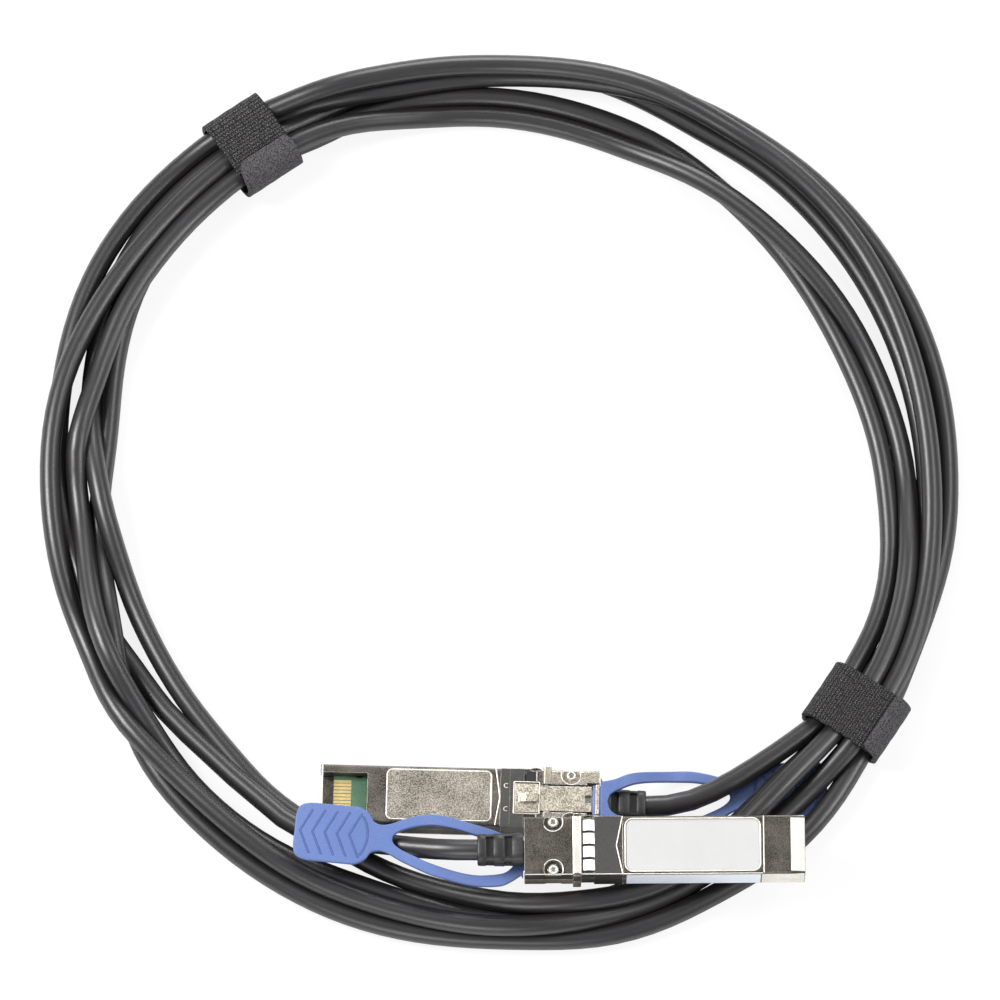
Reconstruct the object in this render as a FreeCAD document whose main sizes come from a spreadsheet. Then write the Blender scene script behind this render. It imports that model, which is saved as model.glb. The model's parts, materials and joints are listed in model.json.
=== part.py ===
"""Direct attach copper cable: two pluggable ends joined by a coiled twinaxial cable.

Each plug is drawn in its own frame: x runs from the nose to the tail, y across, and z from the
latch side at 0 to the label side. The rear plug then lies latch side up on the surface, and the
front plug lies label side up on the coil.
"""
import FreeCAD, Part
import math
import os
import re
import Sketcher
from FreeCAD import Placement, Rotation, Vector

SIZES = [
    # Shells
    ("plug_length", 62.4, "length of both shells, nose to tail"),
    ("plug_width", 13.4, "width of both shells"),
    ("plug_height", 8.5, "latch face to label face"),
    ("parting_height", 4.3, "height of the joint between the shells"),
    ("shell_wall", 1.15, "side walls of the shells"),
    ("floor_wall", 1.2, "floor of the base shell"),
    ("roof_wall", 1.2, "roof of the top shell"),
    ("corner_round", 0.6, "rounding of the long outer edges"),
    ("nose_bevel_length", 3.3, "length of the bevel on the label side of the nose"),
    ("nose_bevel_height", 0.55, "drop of the bevel at the nose"),
    ("nose_step_place", 9.1, "tail end of the sunk nose part"),
    ("nose_step", 0.12, "depth of the sunk nose part"),
    ("window_length", 10.5, "opening under the nose"),
    ("cavity_overlap", 0.9, "reach of the board cavity under the collar"),
    ("panel_start", 14.9, "nose end of the raised panel on the latch side"),
    ("panel_margin", 2.2, "raised panel from the collar"),
    ("panel_half_width", 6.0, "half the width of the raised panel"),
    ("panel_rise", 0.25, "height of the raised panel"),
    ("panel_round", 1.4, "corners of the raised panel"),
    ("label_start", 9.8, "nose end of the label recess"),
    ("label_margin", 0.76, "label recess from the collar"),
    ("label_width", 11.7, "width of the label"),
    ("label_depth", 0.25, "depth of the label recess"),
    ("label_thick", 0.1, "thickness of a label"),
    ("label_round", 1.6, "corners of the label"),
    ("label_gap", 0.12, "gap between the label and the recess"),
    ("side_label_height", 2.4, "height of the label on the side"),
    # Head and its screws
    ("ridge_reach", 12.6, "nose end of the stop ridge from the tail"),
    ("ridge_length", 1.8, "length of the stop ridge"),
    ("ridge_rise", 0.5, "height of the stop ridge"),
    ("ridge_round", 0.4, "rounding of the stop ridge"),
    ("head_cavity_reach", 9.8, "nose end of the hollow in the head from the tail"),
    ("head_cavity_half_width", 3.7, "half width of the hollow in the head"),
    ("tail_wall", 1.9, "end wall of the head"),
    ("screw_reach", 6.4, "screws from the tail"),
    ("screw_offset", 5.45, "screws from the centre line"),
    ("counterbore_radius", 2.1, "recess round each screw head"),
    ("counterbore_depth", 1.0, "depth of that recess"),
    ("screw_head_radius", 1.2, "screw head"),
    ("screw_head_height", 0.7, "screw head above its seat"),
    ("screw_radius", 0.7, "screw shank"),
    ("screw_hole_gap", 0.05, "clearance round the shank"),
    ("socket_radius", 0.5, "drive socket in the screw head"),
    ("socket_depth", 0.4, "depth of the drive socket"),
    # Collar
    ("collar_reach", 21.8, "nose end of the shielding collar from the tail"),
    ("collar_thick", 0.25, "sheet of the collar"),
    ("collar_gap", 0.05, "gap between the collar and the shells"),
    ("collar_point", 1.3, "depth of the pointed cut in the collar's edge"),
    ("latch_band_length", 4.9, "length of the collar on the latch face"),
    ("collar_slit", 0.25, "width of the slit in the collar on the latch face"),
    ("mark_size", 1.3, "size of the stamped marks beside the slit"),
    ("mark_stroke", 0.35, "width of a stamped mark's line"),
    ("mark_offset", 2.7, "stamped marks from the centre line"),
    ("hatch_length", 2.3, "length of the square holes beside the latch"),
    ("hatch_inner", 3.9, "inner edge of those holes from the centre line"),
    ("hatch_outer", 5.7, "outer edge of those holes from the centre line"),
    ("hatch_depth", 1.0, "depth of those holes"),
    ("finger_reach", 15.5, "root of the spring fingers from the tail"),
    ("finger_width", 2.4, "width of a finger"),
    ("finger_pitch", 3.05, "spacing of the fingers"),
    ("finger_rise", 0.55, "height of a finger's bow"),
    ("finger_length", 2.6, "length of a finger"),
    ("finger_root", 0.2, "reach of a finger's root under the band"),
    # Board
    ("board_start", 2.85, "front edge of the board from the nose"),
    ("board_end_gap", 0.3, "rear edge of the board from the hollow in the head"),
    ("board_thick", 1.0, "thickness of the board"),
    ("board_gap", 0.1, "gap beside the board"),
    ("ledge", 0.75, "ledge that carries the board's edge"),
    ("key_depth", 0.9, "key notch in the board's side"),
    ("key_length", 1.4, "length of the key notch"),
    ("pad_pitch", 0.8, "spacing of the contact pads"),
    ("pad_width", 0.55, "width of a contact pad"),
    ("pad_length", 3.9, "length of a contact pad"),
    ("pad_thick", 0.05, "thickness of a contact pad"),
    ("pad_setback", 0.25, "pads from the board's edge"),
    # Latch
    ("latch_reach", 18.9, "nose end of the lever from the tail"),
    ("latch_setback", 1.8, "tail end of the lever from the tail"),
    ("latch_half_width", 2.9, "half width of the lever"),
    ("latch_head_length", 5.2, "length of the lever's wider nose end"),
    ("latch_head_half_width", 3.3, "half width of the lever's nose end"),
    ("latch_thick", 1.0, "thickness of the lever"),
    ("latch_level", 0.1, "lever below the latch face"),
    ("latch_gap", 0.35, "gap beside the lever"),
    ("latch_pocket_depth", 2.3, "depth of the latch pocket"),
    ("pivot_reach", 11.9, "pivot from the tail"),
    ("pivot_height", 1.2, "pivot above the latch face"),
    ("pivot_radius", 0.6, "latch pin"),
    ("pivot_clearance", 0.04, "running clearance on the latch pin"),
    ("knuckle_radius", 1.08, "knuckle round the latch pin"),
    ("pin_seat", 1.1, "length of the pin in each side of the shell"),
    ("boss_reach", 18.3, "foot of the boss's ramp from the tail"),
    ("boss_ramp", 1.8, "length of the boss's ramp"),
    ("boss_length", 4.4, "length of the boss with its ramp"),
    ("boss_width", 2.1, "width of the boss"),
    ("boss_rise", 1.0, "height of the boss above the lever"),
    ("notch_length", 1.5, "notch in the lever's tail"),
    ("notch_width", 1.8, "width of that notch"),
    ("lip_reach", 5.9, "nose edge of the lever's lifting lip from the tail"),
    ("lip_recess", 0.65, "depth of the recess before the lip"),
    ("lip_recess_length", 3.7, "length of that recess"),
    # Slide
    ("slide_reach", 10.0, "nose end of the release slide from the tail"),
    ("slide_half_width", 2.5, "half width of the release slide"),
    ("slide_level", 1.35, "release slide above the latch face"),
    ("slide_thick", 0.5, "thickness of the release slide"),
    ("wedge_setback", 0.9, "nose end of the wedge from the slide's end"),
    ("wedge_crest", 0.9, "length of the wedge's flat top"),
    ("wedge_ramp", 1.0, "length of the wedge's ramp"),
    ("wedge_rise", 0.62, "height of the wedge"),
    # Spring
    ("spring_reach", 16.0, "spring from the tail"),
    ("spring_half_length", 1.15, "half length of the leaf spring"),
    ("spring_half_width", 1.0, "half width of the leaf spring"),
    ("spring_thick", 0.14, "sheet of the leaf spring"),
    ("spring_gap", 0.1, "gap round the leaf spring in its seat"),
    ("spring_well_depth", 0.7, "depth of that seat past the latch pocket"),
    # Cable end
    ("cable_radius", 2.35, "outer radius of the cable"),
    ("cable_height", 5.05, "cable axis above the latch face"),
    ("lead_straight", 7.5, "straight run of the cable out of the boot"),
    ("boot_start_gap", 0.15, "gap between the shells and the boot"),
    ("boot_length", 10.3, "length of the boot outside the shells"),
    ("boot_width", 7.3, "width of the boot"),
    ("boot_height", 6.0, "height of the boot"),
    ("boot_round", 2.3, "corners of the boot"),
    ("boot_end_width", 6.7, "width of the boot at its cable end"),
    ("boot_end_height", 5.4, "height of the boot at its cable end"),
    ("boot_flange", 1.1, "thickness of the flange that holds the boot"),
    ("boot_recess", 2.0, "depth that the cable enters the boot"),
    ("neck_width", 5.6, "width of the boot's neck"),
    ("neck_height", 3.4, "height of the boot's neck"),
    ("neck_gap", 0.1, "gap round the boot's neck"),
    ("slot_length", 1.6, "width of a slot ring in the boot"),
    ("slot_first", 2.75, "first slot ring from the shells"),
    ("slot_second", 6.9, "second slot ring from the shells"),
    ("slot_side_depth", 0.9, "depth of the slots at the sides"),
    ("slot_face_depth", 0.35, "depth of the slots above and below"),
    ("slot_web", 1.3, "half width of the webs between the slots"),
    ("ferrule_radius", 2.15, "crimp ferrule"),
    ("ferrule_bore", 1.65, "bore of the crimp ferrule"),
    ("ferrule_length", 4.2, "length of the crimp ferrule"),
    ("wire_radius", 0.32, "insulated conductor"),
    ("wire_pitch", 0.72, "spacing of the conductors"),
    ("wire_overlap", 2.6, "length of the conductors on the board"),
    # Pull tab, measured from the shells' tail
    ("tab_thick", 1.3, "thickness of the pull tab"),
    ("tab_level", 0.4, "pull tab above the latch face"),
    ("tab_root", 1.5, "reach of the tab's root into the shells"),
    ("tab_root_half_width", 3.4, "half width of the root"),
    ("tab_gap", 0.9, "gap between the shells and the tab's crossbar"),
    ("tab_bar", 1.5, "width of the crossbar"),
    ("tab_bar_half_width", 5.0, "half length of the crossbar"),
    ("loop_bulge_place", 16.0, "widest place of the loop"),
    ("loop_half_width", 7.9, "half width of the loop there"),
    ("loop_strand", 2.6, "width of the loop's arms"),
    ("loop_end", 29.5, "inner end of the loop"),
    ("neck_place", 32.5, "narrowest place of the strap"),
    ("neck_half_width", 3.1, "half width of the strap there"),
    ("paddle_start", 34.4, "start of the paddle"),
    ("paddle_end", 51.4, "end of the paddle"),
    ("paddle_half_width", 6.6, "half width of the paddle"),
    ("paddle_round", 2.3, "corners of the paddle"),
    ("groove_first", 37.6, "point of the first groove"),
    ("groove_pitch", 2.75, "spacing of the grooves"),
    ("groove_width", 0.75, "width of a groove"),
    ("groove_depth", 0.3, "depth of a groove"),
    ("groove_lean", 3.0, "slant of a groove's arms along the paddle"),
    ("groove_half_width", 5.2, "half width of a groove"),
    ("crescent_place", 0.7, "crescent groove from the paddle's start"),
    ("crescent_bulge", 1.6, "bulge of the crescent groove"),
    ("crescent_width", 0.9, "width of the crescent groove in its middle"),
    ("crescent_half_length", 4.0, "half length of the crescent groove"),
    ("release_travel", 2.5, "travel of the pull tab"),
    # Layout on the surface, from the middle of the coil
    ("coil_x", -13.8, "middle of the coil from the origin"),
    ("coil_y", 77.9, "middle of the coil from the origin"),
    ("rear_nose_x", -40.2, "rear plug's nose from the middle of the coil"),
    ("rear_nose_y", -71.7, "rear plug's nose from the middle of the coil"),
    ("rear_turn", -1.5, "turn of the rear plug in degrees"),
    ("rear_tab_turn", -7.0, "bend of the rear tab in degrees"),
    ("rear_drop_start", 5.5, "place where the rear tab starts to slope down"),
    ("rear_drop_end", 20.0, "place where the rear tab reaches the surface"),
    ("floor_gap", 0.3, "rear tab above the surface"),
    ("front_rise_start", 7.0, "place where the front tab starts to rise over the cable"),
    ("front_rise_end", 20.0, "place where the front tab is level again"),
    ("front_rise", 2.2, "rise of the front tab"),
    ("front_nose_x", 67.8, "front plug's nose from the middle of the coil"),
    ("front_nose_y", -86.2, "front plug's nose from the middle of the coil"),
    ("front_level", 10.3, "front plug's latch face above the surface"),
    ("front_turn", 180.4, "turn of the front plug in degrees"),
    ("front_tab_turn", -6.0, "bend of the front tab in degrees"),
    # Coil
    ("coil_height", 9.8, "height of the coil"),
    ("coil_bevel", 2.2, "bevel of the coil's rims across"),
    ("coil_round", 2.6, "bevel of the coil's rims in height"),
    ("tab_pocket_height", 2.2, "hollow under the coil over the rear tab"),
    ("tab_pocket_gap", 0.9, "gap round the rear tab's paddle"),
    # Ties
    ("tie_width", 14.4, "width of the hook and loop ties"),
    ("tie_thick", 1.1, "thickness of a tie"),
    ("tie_gap", 0.15, "gap between a tie and the coil"),
    ("tie_round", 3.4, "inner corners of a tie"),
    ("tie_tail_thick", 1.0, "thickness of the overlapping tail"),
    ("tie_tail_round", 2.0, "corners of the overlapping tail"),
    ("upper_tie_angle", 125.2, "direction of the upper left tie in degrees"),
    ("upper_tie_radius", 97.5, "middle of the upper left tie"),
    ("upper_tie_core", 16.8, "width of the coil inside the upper left tie"),
    ("lower_tie_angle", -33.8, "direction of the lower right tie in degrees"),
    ("lower_tie_radius", 95.0, "middle of the lower right tie"),
    ("lower_tie_core", 16.6, "width of the coil inside the lower right tie"),
    ("tie_core_height", 8.0, "height of the coil inside a tie"),
]

# Places from the nose that follow the plug's length, and lengths between them
PLACES = {
    "collar_start": "plug_length - collar_reach",
    "cavity_end": "collar_start + cavity_overlap",
    "panel_end": "collar_start - panel_margin",
    "label_length": "collar_start - label_margin - label_start - 2 * label_gap",
    "finger_start": "plug_length - finger_reach",
    "ridge_start": "plug_length - ridge_reach",
    "head_cavity_start": "plug_length - head_cavity_reach",
    "board_end": "head_cavity_start - board_end_gap",
    "screw_place": "plug_length - screw_reach",
    "latch_start": "plug_length - latch_reach",
    "latch_end": "plug_length - latch_setback",
    "latch_head_end": "latch_start + latch_head_length",
    "pivot_place": "plug_length - pivot_reach",
    "boss_start": "plug_length - boss_reach",
    "boss_crest": "boss_start + boss_ramp",
    "boss_end": "boss_start + boss_length",
    "lip_place": "plug_length - lip_reach",
    "lip_recess_start": "lip_place - lip_recess_length",
    "slide_start": "plug_length - slide_reach",
    "wedge_start": "slide_start + wedge_setback",
    "spring_place": "plug_length - spring_reach",
    "latch_band_end": "collar_start + latch_band_length",
    "hatch_start": "latch_band_end + collar_gap",
}

# Reach of the coil's outer and inner edges from its middle, every 30 degrees from +X
COIL_OUTER = [103.2, 105.0, 104.6, 103.8, 106.6, 108.2, 103.2, 99.8, 106.4, 106.2, 106.8, 102.8]
COIL_INNER = [85.2, 82.8, 85.4, 88.0, 93.8, 94.0, 87.4, 83.0, 90.0, 93.4, 93.6, 88.8]

# Route of each lead, from the middle of the coil, in millimetres
REAR_LEAD = [(47.5, -70.6, 4.6), (57.5, -64.6, 4.9), (66.5, -58.2, 4.8), (73.0, -53.1, 4.8)]
FRONT_LEAD = [(-18.2, -85.2, 11.6), (-28.0, -83.0, 7.6), (-37.5, -81.9, 5.6), (-46.5, -79.0, 4.8)]

PAD_COUNT = 10
WIRE_COUNT = 4
GROOVE_COUNT = 5
COIL_SIDES = 72

doc = FreeCAD.newDocument("direct_attach_cable")
sheet = doc.addObject("Spreadsheet::Sheet", "Sizes")
for row, (alias, value, meaning) in enumerate(SIZES, start=1):
    sheet.set(f"A{row}", meaning)
    sheet.set(f"B{row}", str(value))
    sheet.setAlias(f"B{row}", alias)
for number, (outer, inner) in enumerate(zip(COIL_OUTER, COIL_INNER)):
    row = len(SIZES) + 1 + number
    sheet.set(f"A{row}", f"reach of the coil at {30 * number} degrees")
    sheet.set(f"B{row}", str(outer))
    sheet.setAlias(f"B{row}", f"coil_outer_{number}")
    sheet.set(f"C{row}", str(inner))
    sheet.setAlias(f"C{row}", f"coil_inner_{number}")
doc.recompute()

NODES = []


def linked(expression):
    """The expression with its places worked out and every size written as a cell of the sheet."""
    def cell(word):
        name = word.group()
        return f"( {linked(PLACES[name])} )" if name in PLACES else f"Sizes.{name}"
    return re.sub(r"[a-z][a-z_0-9]+", cell, str(expression))


def size(expression):
    """The number that an expression of sizes comes to."""
    return float(sheet.evalExpression(linked(expression)))


def new_body(name):
    """An empty body whose label names the piece."""
    body = doc.addObject("PartDesign::Body", name)
    body.Label = name
    NODES.append(body)
    return body


def sketch_on(body, name, plane, height="0"):
    """An empty sketch on one of the body's own origin planes, moved along its normal."""
    sketch = body.newObject("Sketcher::SketchObject", name)
    support = [feature for feature in body.Origin.OriginFeatures if feature.Role == plane][0]
    sketch.AttachmentSupport = [(support, "")]
    sketch.MapMode = "FlatFace"
    sketch.setExpression("AttachmentOffset.Base.z", linked(height))
    return sketch


def pin_point(sketch, geometry, point, x, y):
    """Ties one point of a sketch to two expressions."""
    for kind, expression in (("DistanceX", x), ("DistanceY", y)):
        constraint = Sketcher.Constraint(kind, -1, 1, geometry, point, size(expression))
        number = sketch.addConstraint(constraint)
        sketch.setExpression(f"Constraints[{number}]", linked(expression))


def polygon(sketch, corners):
    """A closed outline of straight lines through corners given as expressions."""
    points = [Vector(size(x), size(y), 0) for x, y in corners]
    first = sketch.GeometryCount
    count = len(points)
    for number in range(count):
        line = Part.LineSegment(points[number], points[(number + 1) % count])
        sketch.addGeometry(line, False)
    for number in range(count):
        following = first + (number + 1) % count
        sketch.addConstraint(Sketcher.Constraint("Coincident", first + number, 2, following, 1))
    for number, (x, y) in enumerate(corners):
        pin_point(sketch, first + number, 1, x, y)


def rectangle(sketch, low_x, high_x, low_y, high_y):
    """A closed rectangle between four expressions."""
    polygon(sketch, [(low_x, low_y), (high_x, low_y), (high_x, high_y), (low_x, high_y)])


def circle(sketch, x, y, radius):
    """A circle about a point given as expressions."""
    centre = Vector(size(x), size(y), 0)
    number = sketch.addGeometry(Part.Circle(centre, Vector(0, 0, 1), size(radius)), False)
    pin_point(sketch, number, 3, x, y)
    constraint = sketch.addConstraint(Sketcher.Constraint("Radius", number, size(radius)))
    sketch.setExpression(f"Constraints[{constraint}]", linked(radius))


def swept(body, kind, name, sketch, length, reverse=False, symmetric=False):
    """A pad or pocket of a sketch over a length given as an expression."""
    feature = body.newObject(f"PartDesign::{kind}", name)
    feature.Profile = sketch
    feature.Reversed = reverse
    if symmetric:
        feature.SideType = "Symmetric"
    feature.setExpression("Length", linked(length))
    sketch.Visibility = False
    return feature


def pad(body, name, sketch, length, reverse=False, symmetric=False):
    return swept(body, "Pad", name, sketch, length, reverse, symmetric)


def pocket(body, name, sketch, length, reverse=False, symmetric=False):
    return swept(body, "Pocket", name, sketch, length, reverse, symmetric)


def block(body, name, low_x, high_x, low_y, high_y, low_z, high_z, cut=False):
    """A box added to or cut from a body, drawn on a level plane and raised from low_z."""
    sketch = sketch_on(body, f"{name}_outline", "XY_Plane", low_z)
    rectangle(sketch, low_x, high_x, low_y, high_y)
    if cut:
        return pocket(body, name, sketch, f"{high_z} - ( {low_z} )", reverse=True)
    return pad(body, name, sketch, f"{high_z} - ( {low_z} )")


def rounded(body, name, radius, chosen):
    """Fillets the edges of the body's tip that the test chooses."""
    doc.recompute()
    tip = body.Tip
    edges = [f"Edge{n}" for n, edge in enumerate(tip.Shape.Edges, start=1) if chosen(edge)]
    fillet = body.newObject("PartDesign::Fillet", name)
    fillet.Base = (tip, edges)
    fillet.setExpression("Radius", linked(radius))
    return fillet


def along(edge, direction):
    """True for a straight edge along a direction."""
    if edge.Curve.TypeId != "Part::GeomLine":
        return False
    return abs(edge.Curve.Direction.dot(direction)) > 0.999


# Sides that each rounded corner of the boot is drawn with
CORNER_SIDES = 5
ALONG_X = Vector(1, 0, 0)
ALONG_Y = Vector(0, 1, 0)
ALONG_Z = Vector(0, 0, 1)


def base_shell(name):
    """Cast shell on the latch side: open nose, board ledges and the latch pocket."""
    body = new_body(name)
    half = "plug_width / 2"
    block(body, "blank", "0", "plug_length", f"-{half}", half, "0", "parting_height")
    rounded(body, "long_edges", "corner_round",
            lambda edge: along(edge, ALONG_X) and edge.CenterOfMass.z < 0.01)
    inner = f"{half} - shell_wall"
    seat = "parting_height - board_thick"
    block(body, "board_seat", "-1", "board_end + board_gap", f"-( {inner} )", inner,
          seat, "parting_height + 1", cut=True)
    narrow = f"{inner} - ledge"
    block(body, "hollow", "-1", "cavity_end", f"-( {narrow} )", narrow, "floor_wall",
          "parting_height + 1", cut=True)
    block(body, "nose_window", "-1", "window_length", f"-( {narrow} )", narrow, "-1",
          "floor_wall + 1", cut=True)
    block(body, "latch_pocket", "latch_start - latch_gap", "plug_length + 1",
          "-( latch_half_width + latch_gap )", "latch_half_width + latch_gap", "-1",
          "latch_pocket_depth", cut=True)
    block(body, "strap_pocket", "latch_end - 1", "plug_length + 1",
          "-( tab_root_half_width + latch_gap )", "tab_root_half_width + latch_gap", "-1",
          "latch_pocket_depth", cut=True)
    head_half = "( latch_head_half_width + latch_gap )"
    block(body, "latch_head_pocket", "latch_start - latch_gap", "latch_head_end + latch_gap",
          f"-{head_half}", head_half, "-1", "latch_pocket_depth", cut=True)
    for side, low_y, high_y in (("left", "-hatch_outer", "-hatch_inner"),
                                ("right", "hatch_inner", "hatch_outer")):
        block(body, f"hatch_{side}", "hatch_start", "hatch_start + hatch_length", low_y, high_y,
              "-1", "hatch_depth", cut=True)
    knuckle_reach = "knuckle_radius + latch_gap"
    block(body, "knuckle_pocket", f"pivot_place - ( {knuckle_reach} )",
          f"pivot_place + {knuckle_reach}", "-( latch_half_width + latch_gap )",
          "latch_half_width + latch_gap", "-1", "latch_pocket_depth + 0.4", cut=True)
    reach = "( spring_half_length + spring_gap )"
    block(body, "spring_seat", f"spring_place - {reach}", f"spring_place + {reach}",
          "-spring_half_width - spring_gap", "spring_half_width + spring_gap", "0",
          "latch_pocket_depth + spring_well_depth", cut=True)
    bore = sketch_on(body, "pin_bore_outline", "XZ_Plane")
    circle(bore, "pivot_place", "pivot_height", "pivot_radius")
    pocket(body, "pin_bore", bore, "2 * ( latch_half_width + latch_gap + pin_seat )", symmetric=True)
    block(body, "head_hollow", "head_cavity_start", "plug_length - tail_wall",
          "-head_cavity_half_width", "head_cavity_half_width",
          "cable_height - ferrule_radius - 0.1", "parting_height + 1", cut=True)
    block(body, "neck_cut", "plug_length - tail_wall - 1", "plug_length + 1",
          "-neck_width / 2 - neck_gap", "neck_width / 2 + neck_gap",
          "cable_height - neck_height / 2 - neck_gap", "parting_height + 1", cut=True)
    block(body, "panel", "panel_start", "panel_end", "-panel_half_width", "panel_half_width",
          "-panel_rise", "floor_wall / 2")
    rounded(body, "panel_corners", "panel_round",
            lambda edge: along(edge, ALONG_Z) and edge.CenterOfMass.z < 0
            and abs(abs(edge.CenterOfMass.y) - size("panel_half_width")) < 0.01)
    collar_and_head(body, "0", "parting_height", latch_side=True)
    return body


def collar_and_head(body, low, high, latch_side):
    """The collar's seat, the stop ridge and the screw places of one shell."""
    half = "plug_width / 2"
    sunk = "( collar_thick + collar_gap )"
    grown = f"( {half} + ridge_rise )"
    ridge_end = "ridge_start + ridge_length"
    for side, low_y, high_y in (("left", f"-{half} - 1", f"-{half} + {sunk}"),
                                ("right", f"{half} - {sunk}", f"{half} + 1")):
        block(body, f"collar_side_{side}", "collar_start - collar_gap", "ridge_start", low_y,
              high_y, "-1", "plug_height + 1", cut=True)
    seat = ("-1", sunk) if latch_side else (f"plug_height - {sunk}", "plug_height + 1")
    block(body, "collar_seat", "collar_start - collar_gap", "ridge_start", f"-{half} - 1",
          f"{half} + 1", *seat, cut=True)
    for side, low_y, high_y in (("left", f"-{grown}", f"-{half} + 0.5"),
                                ("right", f"{half} - 0.5", grown)):
        block(body, f"ridge_{side}", "ridge_start", ridge_end, low_y, high_y, low, high)
    if latch_side:
        gap = "( latch_half_width + latch_gap )"
        for side, low_y, high_y in (("left", f"-{grown}", f"-{gap}"), ("right", gap, grown)):
            block(body, f"ridge_face_{side}", "ridge_start", ridge_end, low_y, high_y,
                  "-ridge_rise", "0.3")
    else:
        block(body, "ridge_face", "ridge_start", ridge_end, f"-{grown}", grown,
              "plug_height - 0.3", "plug_height + ridge_rise")
    level = "-ridge_rise" if latch_side else "plug_height + ridge_rise"
    rounded(body, "ridge_edges", "ridge_round",
            lambda edge: along(edge, ALONG_Y) and abs(edge.CenterOfMass.z - size(level)) < 0.01)
    recess = sketch_on(body, "counterbores_outline", "XY_Plane",
                       "-1" if latch_side else "plug_height - counterbore_depth")
    holes = sketch_on(body, "screw_holes_outline", "XY_Plane", "-1")
    for side in ("-", ""):
        circle(recess, "screw_place", f"{side}screw_offset", "counterbore_radius")
        circle(holes, "screw_place", f"{side}screw_offset", "screw_radius + screw_hole_gap")
    pocket(body, "counterbores", recess, "counterbore_depth + 1", reverse=True)
    pocket(body, "screw_holes", holes, "plug_height + 2", reverse=True)


def top_shell(name):
    """Cast shell on the label side: bevelled nose, label recess and head cover."""
    body = new_body(name)
    half = "plug_width / 2"
    profile = sketch_on(body, "profile", "XZ_Plane")
    polygon(profile, [
        ("0", "parting_height"), ("plug_length", "parting_height"), ("plug_length", "plug_height"),
        ("nose_bevel_length", "plug_height"), ("0", "plug_height - nose_bevel_height")])
    pad(body, "blank", profile, "plug_width", symmetric=True)
    rounded(body, "long_edges", "corner_round",
            lambda edge: abs(abs(edge.CenterOfMass.y) - size(half)) < 0.01
            and edge.CenterOfMass.z > size("plug_height - nose_bevel_height")
            and edge.BoundBox.XLength > 1)
    block(body, "nose_flat", "-1", "nose_step_place", "-plug_width", "plug_width",
          "plug_height - nose_step", "plug_height + 1", cut=True)
    inner = f"( {half} - shell_wall )"
    block(body, "hollow", "-1", "head_cavity_start", f"-{inner}", inner, "parting_height - 1",
          "plug_height - roof_wall", cut=True)
    block(body, "head_hollow", "head_cavity_start - 1", "plug_length - tail_wall",
          "-head_cavity_half_width", "head_cavity_half_width", "parting_height - 1",
          "cable_height + ferrule_radius + 0.1", cut=True)
    block(body, "neck_cut", "plug_length - tail_wall - 1", "plug_length + 1",
          "-neck_width / 2 - neck_gap", "neck_width / 2 + neck_gap", "parting_height - 1",
          "cable_height + neck_height / 2 + neck_gap", cut=True)
    block(body, "label_recess", "label_start", "label_start + label_length + 2 * label_gap",
          "-label_width / 2 - label_gap", "label_width / 2 + label_gap",
          "plug_height - label_depth", "plug_height + 1", cut=True)
    rounded(body, "recess_corners", "label_round",
            lambda edge: along(edge, ALONG_Z) and edge.Length < size("label_depth + 0.01")
            and edge.CenterOfMass.x > size("label_start") - 0.01)
    collar_and_head(body, "parting_height", "plug_height", latch_side=False)
    return body


def bow(sketch, first, crest, last):
    """An arc through three points given as expressions."""
    points = [Vector(size(x), size(y), 0) for x, y in (first, crest, last)]
    number = sketch.addGeometry(Part.Arc(*points), False)
    arc = sketch.Geometry[number]
    ends = [arc.StartPoint, arc.EndPoint]
    for x, y in (first, last):
        place = Vector(size(x), size(y), 0)
        nearest = 1 if ends[0].distanceToPoint(place) < ends[1].distanceToPoint(place) else 2
        pin_point(sketch, number, nearest, x, y)
    middle = sketch.addGeometry(Part.Point(points[1]), True)
    pin_point(sketch, middle, 1, *crest)
    sketch.addConstraint(Sketcher.Constraint("PointOnObject", middle, 1, number))
    return number


def rounded_rectangle(sketch, half_width, half_height, level, radius):
    """A closed rectangle about a height, each corner rounded by CORNER_SIDES short sides."""
    points = []
    for quarter in range(4):
        for number in range(CORNER_SIDES + 1):
            angle = math.radians(90 * (quarter + number / CORNER_SIDES))
            across, up = math.cos(angle), math.sin(angle)
            side = 1 if quarter in (0, 3) else -1
            rise = 1 if quarter in (0, 1) else -1
            points.append((
                f"{side} * ( {half_width} - {radius} ) + {radius} * ( {across:.6f} )",
                f"{level} + {rise} * ( {half_height} - {radius} ) + {radius} * ( {up:.6f} )"))
    polygon(sketch, points)


def finger(body, name, plane, base, sign, place):
    """One bowed spring finger, drawn from the side and padded across its width."""
    centre = f"( {place} * finger_pitch )"
    start = f"{centre} - finger_width / 2" if plane == "XY_Plane" else f"-{centre} - finger_width / 2"
    root = "finger_start - finger_root"
    crest = "finger_start + finger_length / 2"
    free = "finger_start + finger_length"
    sheet_thick = f"( {sign} ) * collar_thick"
    outline = sketch_on(body, f"{name}_outline", plane, start)
    bow(outline, (root, base), (crest, f"{base} + ( {sign} ) * finger_rise"), (free, base))
    bow(outline, (root, f"{base} - {sheet_thick}"),
        (crest, f"{base} + ( {sign} ) * finger_rise - {sheet_thick}"),
        (free, f"{base} - {sheet_thick}"))
    for x in (root, free):
        ends = [(x, base), (x, f"{base} - {sheet_thick}")]
        places = [Vector(size(a), size(b), 0) for a, b in ends]
        number = outline.addGeometry(Part.LineSegment(*places), False)
        pin_point(outline, number, 1, *ends[0])
        pin_point(outline, number, 2, *ends[1])
    pad(body, name, outline, "finger_width")


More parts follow.
